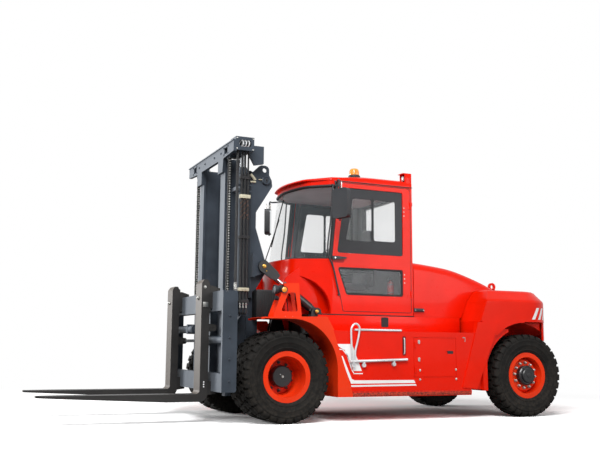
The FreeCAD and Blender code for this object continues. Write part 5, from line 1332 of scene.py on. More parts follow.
    def upper(self) -> None:
        """Bolts, pulley rims and roller pins of the inner stage."""
        cap = Form()
        for side in SIDES.values():
            for y in (0.585, 0.740):
                for z in (3.285, 3.372):
                    cap.bolt(at(0.640, side * y, z), (1, 0, 0), 0.018)
            for y in (0.20, 0.47):
                cap.bolt(at(0.640, side * y, 3.33), (1, 0, 0), 0.022)
        cap.piece("head_beam_bolts", SLATE, "mast_upper")
        rims = Form()
        for x in self.hose_xs:
            rims.lathe([(0.030, -0.004), (0.047, -0.007), (0.049, 0.0), (0.047, 0.007), (0.030, 0.004)],
                       at(x + 0.040, 0.930, 3.372), (1, 0.35, 0), 32, closed=True)
        rims.piece("hose_pulley_rims", SILVER, "mast_upper", slot="bare_steel")
        box = Form()
        for x in (0.385, 0.595):
            for z in (3.30, 3.435):
                box.bolt(at(x, 0.952, z), (0, 1, 0), 0.014)
        box.piece("hose_box_bolts", STEEL, "mast_upper")
        rollers = Form()
        for side in SIDES.values():
            for x, z in ((0.465, 0.56), (0.465, 0.98)):
                rollers.lathe([(0.0, 0.004), (0.030, 0.004), (0.034, 0.0), (0.034, -0.006)],
                              at(x, side * 0.398, z), (0, -side, 0), 28)
        rollers.piece("inner_roller_pins", STEEL, "mast_upper")

    def build(self) -> None:
        """Builds all of the mast's dress."""
        self.chains()
        self.hoses()
        self.base()
        self.upper()


@dataclass
class CarriageDress:
    """Fasteners, glands and marks of the carriage and its forks."""

    fork_y: float = 0.66
    outer: float = 0.78
    positioners: tuple[tuple[int, float], ...] = ((1, 1.120), (-1, 0.970))

    def build(self) -> None:
        """Builds all of the carriage's dress."""
        metal = Form()
        for side, z in self.positioners:
            for y in (0.095, 0.135):
                metal.lathe([(0.051, 0.0), (0.057, 0.003), (0.057, 0.018), (0.051, 0.021)],
                            at(0.745, -side * y, z), (0, -side, 0), 32)
        for side in SIDES.values():
            for z in (0.50, 0.75, 1.0, 1.25):
                metal.bolt(at(0.71, side * 1.150, z), (0, side, 0), 0.024)
        metal.piece("carriage_fasteners", SLATE, "fork_carriage")
        for name, side in SIDES.items():
            hook = Form()
            hook.rod(at(0.945, side * self.fork_y, 1.47), at(0.962, side * self.fork_y, 1.47), 0.022,
                     edge=0.002)
            hook.bolt(at(0.962, side * self.fork_y, 1.47), (1, 0, 0), 0.022)
            hook.bolt(at(0.905, side * self.outer, 1.60), (0, side, 0), 0.024)
            hook.slab(side, (0.862, 0.928), (0.780, 0.788), (1.36, 1.42), 0.003)
            hook.piece(f"fork_latch_{name}", STEEL, f"{name}_fork")
            dots = Form()
            for z in (0.425, 0.452, 0.479):
                dots.lathe([(0.0, 0.0012), (0.008, 0.0010), (0.009, 0.0)],
                           at(0.895, side * self.outer, z), (0, side, 0), 16)
            dots.piece(f"fork_dots_{name}", WHITE, f"{name}_fork")


# ---------------------------------------------------------------------------------- cab


UPPER_WINDOW = ((-0.995, 2.982), (-1.862, 2.982), (-1.862, 2.118), (-0.878, 2.118))
LOWER_WINDOW = ((-0.883, 1.927), (-1.860, 1.927), (-1.860, 1.573), (-1.008, 1.573))


@dataclass
class Cab:
    """Borders, seals, wiper, handles, roof, beacon, lamps, mirrors and rails of the cab."""

    glass: float = 0.7355
    skin: float = 0.750
    split: float = -1.4075
    screen_low: float = 2.03
    screen_tall: float = 1.04
    screen_nose: float = -0.27
    nose_lean: float = 0.14
    pillar: float = -0.78
    pillar_lean: float = 0.098
    roof_low: float = 3.0705
    roof_back: float = -2.020
    roof_nose: float = -0.365
    spine: tuple[float, float] = (-1.75, -0.95)
    visor: tuple[float, float] = (0.020, 0.028)
    thick: tuple[float, float] = (0.045, 0.155)
    taper: float = 1.1
    belly: float = 2.2
    under_edge: float = 0.012
    rear_pane: tuple[Point, ...] = tuple(rectangle(-1.425, 2.85, -1.750, 2.30))
    front_pane: tuple[Point, ...] = ((-1.113, 2.85), (-1.390, 2.85), (-1.390, 2.285), (-1.014, 2.285))

    def doors(self) -> None:
        """Borders and seals of the door windows, handles and hinge screws."""
        front, rear, low_rear, low_front = UPPER_WINDOW
        halves = (([(self.split, rear[1]), rear, low_rear, (self.split, low_rear[1])], self.rear_pane),
                  ([front, (self.split, front[1]), (self.split, low_front[1]), low_front],
                   self.front_pane))
        for name, side in SIDES.items():
            body = f"{name}_door"
            start, end = side * self.glass, side * (self.glass + 0.0035)
            border = Form()
            for outer, pane in halves:
                border.band(rounded(ahead(outer), 0.001), rounded(ahead(pane), 0.035), "y", start, end)
            border.piece(f"{name}_window_border", FRIT, body)
            seal = Form()
            inner = [(-0.909, 1.905), (-1.838, 1.905), (-1.838, 1.596), (-1.021, 1.596)]
            seal.band(rounded(ahead(LOWER_WINDOW), 0.045), rounded(ahead(inner), 0.030), "y", start,
                      side * 0.744)
            slide = ahead(rectangle(-1.402, 2.87, -1.416, 2.27))
            seal.plate(slide, "y", end, side * 0.7415, 0.0015)
            seal.piece(f"{name}_window_seal", SEAL, body)
            self.handle(name, side, body)
            hinge = Form()
            for low in (1.757, 2.666):
                for k in range(3):
                    hinge.lathe([(0.0, 0.005), (0.007, 0.004), (0.009, 0.0)],
                                at(-1.884, side * self.skin, low + 0.055 * k), (0, side, 0), 14)
            hinge.piece(f"{name}_door_hinge_screws", STEEL, body)

    def handle(self, name: str, side: int, body: str) -> None:
        """A paddle handle over its recess, with the lock; the recess is a thin darker red plate, painted
        shade.

        Args:
            name: left or right.
            side: 1 for the left, -1 for the right.
            body: the door's body.
        """
        # The recess is a thin plate of darker red laid on the skin: painted shade.
        recess = Form()
        outline = rounded(ahead([(-0.800, 2.030), (-0.985, 2.030), (-0.965, 1.985),
                                 (-0.820, 1.985)]), 0.02)
        recess.plate(outline, "y", side * self.skin, side * (self.skin + 0.002))
        recess.piece(f"{name}_handle_recess_shade", RECESS_SHADE_RED, body)
        paddle = Form()
        outline = rounded(ahead([(-0.794, 2.067), (-0.870, 2.067), (-0.999, 2.058), (-0.999, 2.040),
                                 (-0.870, 2.026), (-0.794, 2.018)]), 0.012)
        paddle.plate(outline, "y", side * (self.skin + 0.008), side * (self.skin + 0.030), 0.004)
        paddle.slab(side, (-0.800, -0.862), (self.skin, self.skin + 0.010), (2.022, 2.063), 0.003)
        paddle.piece(f"{name}_door_handle", PLASTIC, body)
        lock = Form().lathe([(0.0, 0.005), (0.010, 0.004), (0.012, 0.0)],
                            at(-0.832, side * (self.skin + 0.030), 2.043), (0, side, 0), 20)
        lock.piece(f"{name}_door_lock", CHROME, body)

    def bow(self, shoulder: float, nose: float, half: float) -> list[Point]:
        """Corners of the bowed front, from its right shoulder to its left one.

        Args:
            shoulder: place of the shoulders along the vehicle.
            nose: place of the middle along the vehicle.
            half: half its width.

        Returns:
            Its corners, as bent() takes them.
        """
        side = [(shoulder, 0.0, 0.026), (nose - 0.130, 0.235, 0.077)]
        return [*((x, y - half, reach) for x, y, reach in side), (nose, 0.0, 0.36),
                *((x, half - y, reach) for x, y, reach in reversed(side))]

    def front_line(self, height: float, inset: float) -> list[Vector]:
        """Line of the bowed windscreen at one height, from its right pillar to its left.

        Args:
            height: the height.
            inset: distance inside the cab's skin.

        Returns:
            The points of the line.
        """
        share = (height - self.screen_low) / self.screen_tall
        nose = self.screen_nose - self.nose_lean * share - inset
        half = self.skin - inset
        pillar = self.pillar - self.pillar_lean * share
        corners = [(pillar, -half, 0.0), *self.bow(-0.790, nose, half), (pillar, half, 0.0)]
        return [at(p.x, p.y, height) for p in bent(corners, 8)]

    def windscreen(self) -> None:
        """Seals round the windscreen, the wiper and its motor cover."""
        seal = Form()
        seal.sweep(self.front_line(2.036, 0.010), 0.011, 8)
        seal.sweep(self.front_line(2.992, 0.008), 0.020, 8)
        for side in SIDES.values():
            seal.sweep([at(-0.782, side * 0.741, 2.030), at(-0.874, side * 0.741, 2.998)], 0.024, 10)
        seal.piece("windscreen_seal", SEAL, "chassis")
        wiper = Form()
        wiper.sweep(trail(1, (-0.325, 0.10, 2.60), (-0.280, -0.02, 2.34), (-0.246, -0.14, 2.12),
                          (-0.243, -0.22, 2.02)), 0.0070, 10)
        wiper.sweep([at(-0.360, 0.16, 2.86), at(-0.318, 0.03, 2.52), at(-0.280, -0.06, 2.24)],
                    0.0085, 8)
        wiper.rod(at(-0.262, -0.24, 2.00), at(-0.236, -0.24, 2.01), 0.022, edge=0.004)
        wiper.piece("wiper", SEAL, "chassis")

    def door_seams(self) -> None:
        """Dark seals in the seams round the doors, along the roof and under the cab."""
        outline = [(-1.985, 1.36, 0.025), (-1.985, 3.045, 0.06), (-0.895, 3.045, 0.03),
                   (-0.795, 2.050, 0.060), (-0.940, 1.480, 0.090), (-0.960, 1.36, 0.025)]
        for name, side in SIDES.items():
            form = Form()
            line = [at(p.x, side * 0.7475, p.y) for p in bent(outline, 6)]
            form.sweep(line, 0.0045, 6, closed=True)
            form.slab(side, (-0.62, -2.02), (0.7505, 0.7550), (1.309, 1.320), 0.001)
            form.slab(side, (-0.90, -2.018), (0.7480, 0.7530), (3.060, 3.0705), 0.001)
            form.piece(f"{name}_seam_seals", SEAL, "chassis")

    def beacon(self) -> None:
        """The amber beacon on its dark foot."""
        centre = at(-1.30, 0.42, 3.212)
        base = Form()
        base.lathe([(0.0, -0.010), (0.082, -0.010), (0.082, 0.012), (0.072, 0.020), (0.072, 0.026),
                    (0.0, 0.026)], centre, (0, 0, 1), 48)
        base.piece("beacon_base", PLASTIC, "chassis", ["lamps"])
        dome = Form().lathe([(0.0690, 0.026), (0.0700, 0.050), (0.0680, 0.080), (0.0620, 0.100),
                             (0.0480, 0.114), (0.0250, 0.121), (0.0, 0.123)], centre, (0, 0, 1), 48)
        dome.piece("beacon_dome", AMBER, "chassis")

    def rear_lamps(self) -> None:
        """Work lamps within the open boxes behind the roof."""
        for name, side in SIDES.items():
            box = Form()
            box.slab(side, (-2.012, -2.004), (0.615, 0.748), (3.060, 3.262), 0.002)
            box.slab(side, (-2.006, -1.905), (0.740, 0.748), (3.100, 3.262), 0.002)
            box.slab(side, (-2.006, -1.875), (0.615, 0.748), (3.256, 3.264), 0.002)
            box.slab(side, (-2.006, -1.905), (0.615, 0.623), (3.120, 3.262), 0.002)
            box.piece(f"rear_lamp_box_{name}", RED, "chassis")
            shell = Form()
            shell.lathe([(0.0, -0.045), (0.024, -0.040), (0.036, -0.018), (0.040, 0.004),
                         (0.036, 0.007)], at(-1.915, side * 0.682, 3.196), (1, 0, 0), 28)
            shell.slab(side, (-1.960, -1.945), (0.674, 0.690), (3.196, 3.258), 0.002)
            shell.piece(f"rear_work_lamp_{name}", PLASTIC, "chassis")
            lens = Form().lathe([(0.0, 0.013), (0.022, 0.011), (0.036, 0.006)],
                                at(-1.915, side * 0.682, 3.196), (1, 0, 0), 28)
            lens.piece(f"rear_work_lens_{name}", CLEAR, "chassis")

    def roof_panel(self) -> None:
        """A crowned roof shell with a thin edge that tapers towards its rounded front.

        Its first two rings are the underside and the foot of the edge; the rest rise to the crown.
        """
        nose, half = self.roof_nose, self.skin
        corners = [(self.roof_back, -half, 0.02), *self.bow(-0.790, nose, half),
                   (self.roof_back, half, 0.02)]
        outline = self.divided(bent(corners, 8), 0.09)
        part = bmesh.new()
        rings: list[list[bmesh.types.BMVert]] = []
        for t in (0.0, 0.0, 0.016, 0.05, 0.12, 0.22, 0.34, 0.48, 0.64, 0.82, 1.0):
            ring = []
            for spot in outline:
                place = spot.lerp(Vector((min(max(spot.x, self.spine[0]), self.spine[1]), 0.0)), t)
                fade = min(1.0, max(0.0, (nose - place.x) / self.taper))
                fade = fade * fade * (3 - 2 * fade)
                edge, crown = (low + more * fade for low, more in zip(self.visor, self.thick))
                rise = edge + (crown - edge) * (1 - (1 - t) ** self.belly)
                if len(rings) < 2:
                    rise = (edge - self.under_edge) * len(rings)
                ring.append(part.verts.new(at(place.x, place.y, self.roof_low + rise)))
            rings.append(ring)
        stitch(part, rings)
        part.faces.new(rings[0])
        bmesh.ops.remove_doubles(part, verts=part.verts, dist=0.0005)
        form = Form().take(part)
        form.piece("roof_panel", RED, "chassis", ["cab_roof"], 50)

    def divided(self, outline: Sequence[Vector], longest: float) -> list[Vector]:
        """The closed outline with its long sides cut into shorter ones.

        Args:
            outline: its corners in order.
            longest: the longest side that stays whole.

        Returns:
            The points of the new outline.
        """
        out = []
        for k, spot in enumerate(outline):
            after = outline[(k + 1) % len(outline)]
            cuts = max(1, math.ceil((after - spot).length / longest))
            out += [spot.lerp(after, c / cuts) for c in range(cuts)]
        return out

    def mirrors(self) -> None:
        """Mirror heads turned towards the driver, on arms from the pillars."""
        for name, side in SIDES.items():
            x, z = (-0.765, 2.700) if side > 0 else (-0.640, 2.755)
            middle = at(x, side * 1.095, z)
            turn = (Matrix.Translation(middle) @ Matrix.Rotation(side * math.radians(28), 4, "Z")
                    @ Matrix.Rotation(side * math.radians(2), 4, "X"))
            head = Form()
            outline = rounded(rectangle(-0.120, -0.190, 0.120, 0.190), 0.05)
            head.plate(outline, "x", -0.035, 0.045, 0.026)
            head.mesh.transform(turn)
            head.piece(f"mirror_head_{name}", PLASTIC, "chassis", ["mirrors"] if side > 0 else [])
            glass = Form()
            outline = rounded(rectangle(-0.104, -0.172, 0.104, 0.172),
                              0.035)
            glass.plate(outline, "x", -0.0375, -0.034)
            glass.mesh.transform(turn)
            glass.piece(f"mirror_glass_{name}", MIRROR, "chassis")
            arm = Form()
            arm.sweep(trail(side, (-0.868, 0.752, 3.030), (-0.840, 0.820, 3.035),
                            (x - 0.02, 0.960, 3.030), (x, 1.040, z + 0.290),
                            (x, 1.050, z + 0.190)), 0.011, 10)
            arm.slab(side, (-0.905, -0.835), (0.750, 0.760), (2.985, 3.060), 0.004)
            arm.rod(at(x, side * 1.05, z - 0.18), at(x, side * 1.05, z - 0.215), 0.012)
            arm.piece(f"mirror_arm_{name}", PLASTIC, "chassis")
            loop = Form()
            for shift in (-0.035, 0.035):
                foot = Vector((x + shift * 0.5, side * (1.095 + shift)))
                loop.sweep(smooth([at(foot.x + share * 0.012, foot.y + share * 0.022, z + rise)
                                   for share, rise in ((-1, 0.185), (-1, 0.250), (0, 0.275),
                                                       (1, 0.250), (1, 0.185))]), 0.0065, 8)
            loop.piece(f"mirror_loops_{name}", STEEL, "chassis")

    def grab_rails(self) -> None:
        """A black rail down each door's front edge, with a foot at its lower end."""
        line = [(-0.800, 3.000), (-0.771, 2.557), (-0.727, 2.135), (-0.805, 1.920),
                (-0.893, 1.569)]
        for name, side in SIDES.items():
            rail = Form()
            rail.sweep(smooth([at(x, side * 0.775, z) for x, z in line]), 0.0105, 10)
            for x, z in (line[0], line[2], line[4]):
                rail.rod(at(x, side * 0.752, z), at(x, side * 0.781, z), 0.014)
            rail.piece(f"{name}_grab_rail", PLASTIC, "chassis")

    def build(self) -> None:
        """Builds all of the cab's outside."""
        self.doors()
        self.windscreen()
        self.door_seams()
        self.roof_panel()
        self.beacon()
        self.rear_lamps()
        self.mirrors()
        self.grab_rails()


@dataclass
class Interior:
    """Seat, column, side console, extinguisher and lining.

    A cushion's corners have the radius plump; its ends are narrower by pinch, and its two seams
    lie at that share of its half width.
    """

    floor: float = 1.3603
    seat_half: float = 0.250
    plump: float = 0.045
    rows: int = 14
    pinch: float = 0.22
    seam: float = 0.56
    seam_wide: float = 0.09
    seam_deep: float = 0.025
    frames: tuple[tuple[Sequence[Point], ...], ...] = (
        (((-0.925, 3.000), (-1.962, 3.000), (-1.962, 2.015), (-0.835, 2.015)), UPPER_WINDOW,
         ((-1.012, 2.966), (-1.846, 2.966), (-1.846, 2.134), (-0.899, 2.134))),
        (((-0.850, 2.015), (-1.962, 2.015), (-1.962, 1.385), (-0.985, 1.385)), LOWER_WINDOW,
         ((-0.905, 1.911), (-1.844, 1.911), (-1.844, 1.589), (-1.020, 1.589))))

    def cushion(self, form: Form, profile: Sequence[Point], half: float, crown: float) -> None:
        """Adds a stuffed shape: a side profile swollen towards the seat's middle.

        Args:
            form: the mesh in the making.
            profile: its side outline as x and z.
            half: half of its width.
            crown: how far its middle swells beyond its sides.
        """
        part = bmesh.new()
        outline = rounded(profile, self.plump, 4)
        middle = Vector((sum(p[0] for p in outline), sum(p[1] for p in outline))) / len(outline)
        rings = []
        for k in range(self.rows + 1):
            share = -1 + 2 * k / self.rows
            edge = math.sqrt(max(0.0, 1 - abs(share) ** 5))
            swell = 1 - self.pinch * (1 - edge) + crown * math.cos(share * math.pi / 2)
            near = max(0.0, 1 - abs(abs(share) - self.seam) / self.seam_wide)
            seam = 1 - self.seam_deep * near
            rings.append([part.verts.new(at(middle.x + (x - middle.x) * swell * seam, share * half,
                                            middle.y + (z - middle.y) * swell * seam))
                          for x, z in outline])
        form.take(loft(part, rings))

    def pad(self, name: str, profile: Sequence[Point], half: float, crown: float,
            replaces: Sequence[str] = ()) -> None:
        """A stuffed piece in cloth, rounded by a subdivision surface.

        Args:
            name: the piece's name.
            profile: its side outline as x and z.
            half: half of its width.
            crown: how far its middle swells beyond its sides.
            replaces: CAD nodes that it stands for.
        """
        form = Form()
        self.cushion(form, profile, half, crown)
        piece = form.piece(name, CLOTH, "chassis", replaces, 60)
        skin = piece.modifiers.new("soft", "SUBSURF")
        skin.levels = skin.render_levels = 1

    def seat(self) -> None:
        """Cushion, back and head rest in cloth on a suspension base with armrests."""
        self.pad("seat_cushion", [(-1.62, 1.665), (-1.12, 1.665), (-1.10, 1.765), (-1.56, 1.785)],
                 self.seat_half, 0.10, ["operator_seat"])
        self.pad("seat_back", [(-1.575, 1.70), (-1.660, 2.34), (-1.765, 2.34), (-1.700, 1.68)],
                 self.seat_half - 0.01, 0.12)
        self.pad("head_rest", [(-1.690, 2.37), (-1.710, 2.54), (-1.780, 2.53), (-1.765, 2.37)],
                 0.13, 0.2)
        base = Form()
        base.slab(1, (-1.60, -1.20), (-0.20, 0.20), (self.floor, self.floor + 0.06), 0.012)
        for k in range(7):
            z = self.floor + 0.065 + 0.026 * k
            base.slab(1, (-1.575, -1.225), (-0.185, 0.185), (z, z + 0.020), 0.008)
        base.slab(1, (-1.63, -1.15), (-0.225, 0.225), (1.615, 1.668), 0.015)
        for side in (1, -1):
            base.slab(side, (-1.66, -1.24), (0.275, 0.335), (1.905, 1.950), 0.02)
            base.slab(side, (-1.68, -1.64), (0.255, 0.300), (1.80, 1.93), 0.012)
        for side in (1, -1):
            base.rod(at(-1.735, side * 0.05, 2.30), at(-1.745, side * 0.05, 2.40), 0.008)
        base.piece("seat_base", PLASTIC, "chassis")

    def controls(self) -> None:
        """Console, levers with bellows, pedals, the column's bellows and the extinguisher."""
        console = Form()
        console.slab(-1, (-1.72, -1.02), (0.345, 0.610), (self.floor, 1.880), 0.03)
        console.slab(-1, (-1.70, -1.06), (0.365, 0.590), (1.880, 1.900), 0.01)
        for k in range(4):
            x = -1.13 - 0.075 * k
            console.lathe([(0.030, 0.0), (0.024, 0.012), (0.027, 0.018), (0.019, 0.030),
                           (0.021, 0.036), (0.012, 0.052), (0.006, 0.056), (0.006, 0.15),
                           (0.017, 0.155), (0.021, 0.172), (0.017, 0.190), (0.0, 0.197)],
                          at(x, -0.46, 1.898), (0.12, 0, 1), 20)
        for y in (-0.05, 0.12):
            console.slab(1, (-0.66, -0.60), (y, y + 0.07), (1.45, 1.54), 0.01,
                         Matrix.Rotation(math.radians(35), 3, "Y"))
        for k in range(9):
            console.lathe([(0.060, 0.0), (0.075, 0.006), (0.060, 0.012)],
                          at(-0.80 + 0.004 * k, 0.0, 1.42 + 0.030 * k), (0, 0, 1), 24)
        console.piece("console_dress", PLASTIC, "chassis")
        bottle = Form()
        bottle.lathe([(0.0, 0.0), (0.040, 0.002), (0.046, 0.010), (0.046, 0.185), (0.040, 0.205),
                      (0.018, 0.216), (0.014, 0.232), (0.0, 0.232)],
                     at(-1.800, 0.52, 1.575), (0, 0, 1), 28)
        bottle.piece("extinguisher", Finish("bottle_red", "", (188, 20, 16), 0.25, coat=0.6),
                     "chassis")
        tap = Form()
        tap.slab(1, (-1.815, -1.740), (0.505, 0.535), (1.806, 1.826), 0.004)
        tap.slab(1, (-1.815, -1.755), (0.508, 0.532), (1.834, 1.848), 0.004)
        for z in (1.63, 1.74):
            tap.lathe(rectangle(0.0465, 0.0, 0.0495, 0.014),
                      at(-1.800, 0.52, z), (0, 0, 1), 28, closed=True)
        tap.piece("extinguisher_tap", PLASTIC, "chassis")

    def lining(self) -> None:
        """Headliner, grey trim on the rear wall and doors, and dark reveals and pillars."""
        roof = Form()
        back, shoulder, nose = -1.962, -0.800, -0.475
        outline = rounded([(back, -0.698), (shoulder, -0.698), (nose - 0.125, -0.465), (nose, 0.0),
                           (nose - 0.125, 0.465), (shoulder, 0.698), (back, 0.698)], 0.12)
        roof.plate(ahead(outline), "z", 2.992, 3.060)
        roof.piece("roof_lining", HEADLINER, "chassis")
        rear = Form().band(rectangle(-0.698, 1.37, 0.698, 3.034),
                           rectangle(-0.566, 2.134, 0.566, 2.966), "x",
                           AXLE_X + back, AXLE_X + back + 0.012)
        rear.piece("rear_wall_lining", TRIM_GREY, "chassis")
        seal = Form().band(rectangle(-0.561, 2.139, 0.561, 2.961),
                           rectangle(-0.545, 2.155, 0.545, 2.945), "x",
                           AXLE_X - 2.012, AXLE_X - 1.946)
        seal.piece("rear_window_seal", SEAL, "chassis", slot="")
        for name, side in SIDES.items():
            face = side * 0.7045, side * 0.6985
            door = Form()
            reveal = Form()
            for outer, window, inner in self.frames:
                door.band(ahead(outer), ahead(window), "y", *face)
                reveal.band(rounded(ahead(window), 0.03), rounded(ahead(inner), 0.02), "y",
                            side * 0.6965, side * 0.7270)
            door.piece(f"{name}_door_lining", TRIM_GREY, f"{name}_door")
            reveal.piece(f"{name}_window_reveals", SEAL, f"{name}_door", slot="")
            pillar = Form()
            pillar.plate(ahead([(-0.765, 1.98), (-0.862, 3.02), (-0.912, 3.02), (-0.815, 1.98)]),
                         "y", *face)
            pillar.piece(f"{name}_pillar_lining", SEAL, "chassis", slot="")

    def build(self) -> None:
        """Builds the inside of the cab."""
        self.seat()
        self.controls()
        self.lining()


# --------------------------------------------------------------------------------- body


@dataclass
class Casting:
    """The counterweight with its bevelled top and lifting eyes, and its posts and arches."""

    half: float = 1.200
    rear: float = -4.090
    bulge: float = 0.049
    radius: float = 0.49
    low_radius: float = 0.60
    seam: float = 1.260
    deck: float = 1.560
    well: float = 0.745
    well_end: float = -3.725
    front: float = -2.781
    lean: float = 0.389
    levels: tuple[Point, ...] = ((1.260, 0.0), (1.525, 0.0), (1.545, 0.006), (1.560, 0.018),
                                 (1.640, 0.098), (1.668, 0.122), (1.684, 0.152), (1.690, 0.195))
    eye: tuple[float, float, float] = (-3.745, 0.165, 1.812)
    eye_radius: float = 0.058
    eye_bore: float = 0.030
    eye_thick: float = 0.036
    eye_foot: float = 1.600
    skirt: tuple[float, float] = (1.010, 1.262)
    wheel: Point = (-3.500, 0.545)
    arch: float = 0.625
    arch_top: float = 1.160
    arch_low: float = 0.370
    post: tuple[Point, ...] = ((-2.725, 1.244), (-3.063, 1.244), (-2.690, 0.372),
                               (-2.460, 0.396))

    def outside(self, inset: float) -> list[Vector]:
        """Right-hand to left-hand line round the back of the casting, at one inset.

        Args:
            inset: distance inside the widest outline.

        Returns:
            The points of the line, seen from above.
        """
        radius = self.radius - inset
        half, rear = self.half - inset, self.rear + inset
        line = []
        for k in range(13):
            angle = math.pi / 2 * k / 12
            line.append(Vector((rear + radius - radius * math.sin(angle),
                                half - radius + radius * math.cos(angle))))
        for k in range(1, 6):
            share = k / 6
            line.append(Vector((rear - self.bulge * (1 - (1 - share) ** 2),
                                (half - radius) * (1 - share))))
        back = [Vector((p.x, -p.y)) for p in reversed(line)]
        return line + [Vector((rear - self.bulge, 0.0))] + back

    def face(self, height: float, inset: float) -> float:
        """Place of the front face, which leans back from the seam up."""
        return self.front - (height - self.seam) * self.lean - inset * 0.4

    def block(self, levels: Sequence[Point], well: float) -> bmesh.types.BMesh:
        """A closed block through the levels; a well, if any, opens it to the front.

        Args:
            levels: height and inset of each level.
            well: half the well's width, or 0 for no well.

        Returns:
            The block's mesh.
        """
        part = bmesh.new()
        rings = []
        for height, inset in levels:
            front = self.face(height, inset)
            half = self.half - inset
            line = [Vector((front, half)), *self.outside(inset), Vector((front, -half))]
            if well:
                line += [Vector((front, -well)), Vector((self.well_end, -well)),
                         Vector((self.well_end, well)), Vector((front, well))]
            rings.append([part.verts.new(at(p.x, p.y, height)) for p in line])
        return loft(part, rings)

    def lower(self) -> bmesh.types.BMesh:
        """Legs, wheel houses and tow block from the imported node, ended at the rounded corners.

        Returns:
            Their mesh.
        """
        cuts = [(Vector((0, 0, self.seam)), Vector((0, 0, 1)))]
        for side in SIDES.values():
            centre = at(self.rear + self.low_radius, side * (self.half - self.low_radius), 0)
            for k in range(1, 6):
                angle = math.pi / 2 * k / 6
                normal = Vector((-math.sin(angle), side * math.cos(angle), 0))
                cuts.append((centre + normal * (self.low_radius + 0.001), normal))
        return packed("counterweight", cuts)

    def build(self) -> None:
        """Builds the casting with its eyes and the skirt behind the wheels."""
        form = Form().take(self.lower())
        form.take(self.block([level for level in self.levels if level[0] <= self.deck], 0.0))
        form.take(self.block([level for level in self.levels if level[0] >= self.deck], self.well))
        for side in SIDES.values():
            self.lifting_eye(form, side)
            self.valance(form, side)
        form.piece("counterweight_casting", CAST_RED, "chassis", ["counterweight"], 30)
        self.legs()

    def lifting_eye(self, form: Form, side: int) -> None:
        """Adds one lifting eye with its foot.

        Args:
            form: the form that takes it.
            side: 1 for the left, -1 for the right.
        """
        x, y, z = self.eye
        half = self.eye_thick / 2
        form.lathe([(self.eye_bore, -half), (self.eye_radius, -half), (self.eye_radius, half),
                    (self.eye_bore, half)], at(x, side * y, z), (0, 1, 0), 32, closed=True)
        form.slab(side, (x - 0.050, x + 0.050), (y - half, y + half),
                  (self.eye_foot, z - self.eye_bore - 0.006), 0.003)

    def valance(self, form: Form, side: int) -> None:
        """Adds the curved skirt under one rear corner.

        Args:
            form: the form that takes it.
            side: 1 for the left, -1 for the right.
        """
        part = bmesh.new()
        low, high = self.skirt
        rows = [[part.verts.new(at(p.x, side * p.y, height)) for p in self.outside(inset)[5:13]]
                for inset, height in ((0.004, low), (0.004, high), (0.026, high), (0.026, low))]
        stitch(part, rows, False, True)
        for i in (0, -1):
            part.faces.new([row[i] for row in rows])
        form.take(part)

    def legs(self) -> None:
        """Slanted posts behind the side boxes, and the arch plates between them and the wheels."""
        x, z = self.wheel
        start = math.asin((self.arch_top - 0.04 - z) / self.arch)
        end = math.asin((self.arch_low - z) / self.arch)
        turns = (start + (end - start) * k / 24 for k in range(25))
        curve_line = [(x + self.arch * math.cos(a), z + self.arch * math.sin(a)) for a in turns]
        for name, side in SIDES.items():
            post = Form().plate(ahead(self.post), "y", side * 1.140, side * 1.212, 0.006)
            post.piece(f"{name}_counterweight_post", CAST_RED, "chassis")
            arch = Form().plate(ahead([(-2.640, self.arch_low), (-2.880, self.arch_top),
                                       (-3.255, self.arch_top), *curve_line]),
                                "y", side * 1.100, side * 1.160, 0.004)
            arch.piece(f"{name}_wheel_arch", CAST_RED, "chassis")


@dataclass
class Fenders:
    """The front fenders with their front edge over the wheel's centre line."""

    front: float = 0.345

    def build(self) -> None:
        """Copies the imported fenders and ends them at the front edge."""
        form = Form().take(packed("front_fenders", [(at(self.front, 0, 0), Vector((1, 0, 0)))]))
        form.piece("fender_shells", ORANGE, "chassis", ["front_fenders"], 30)


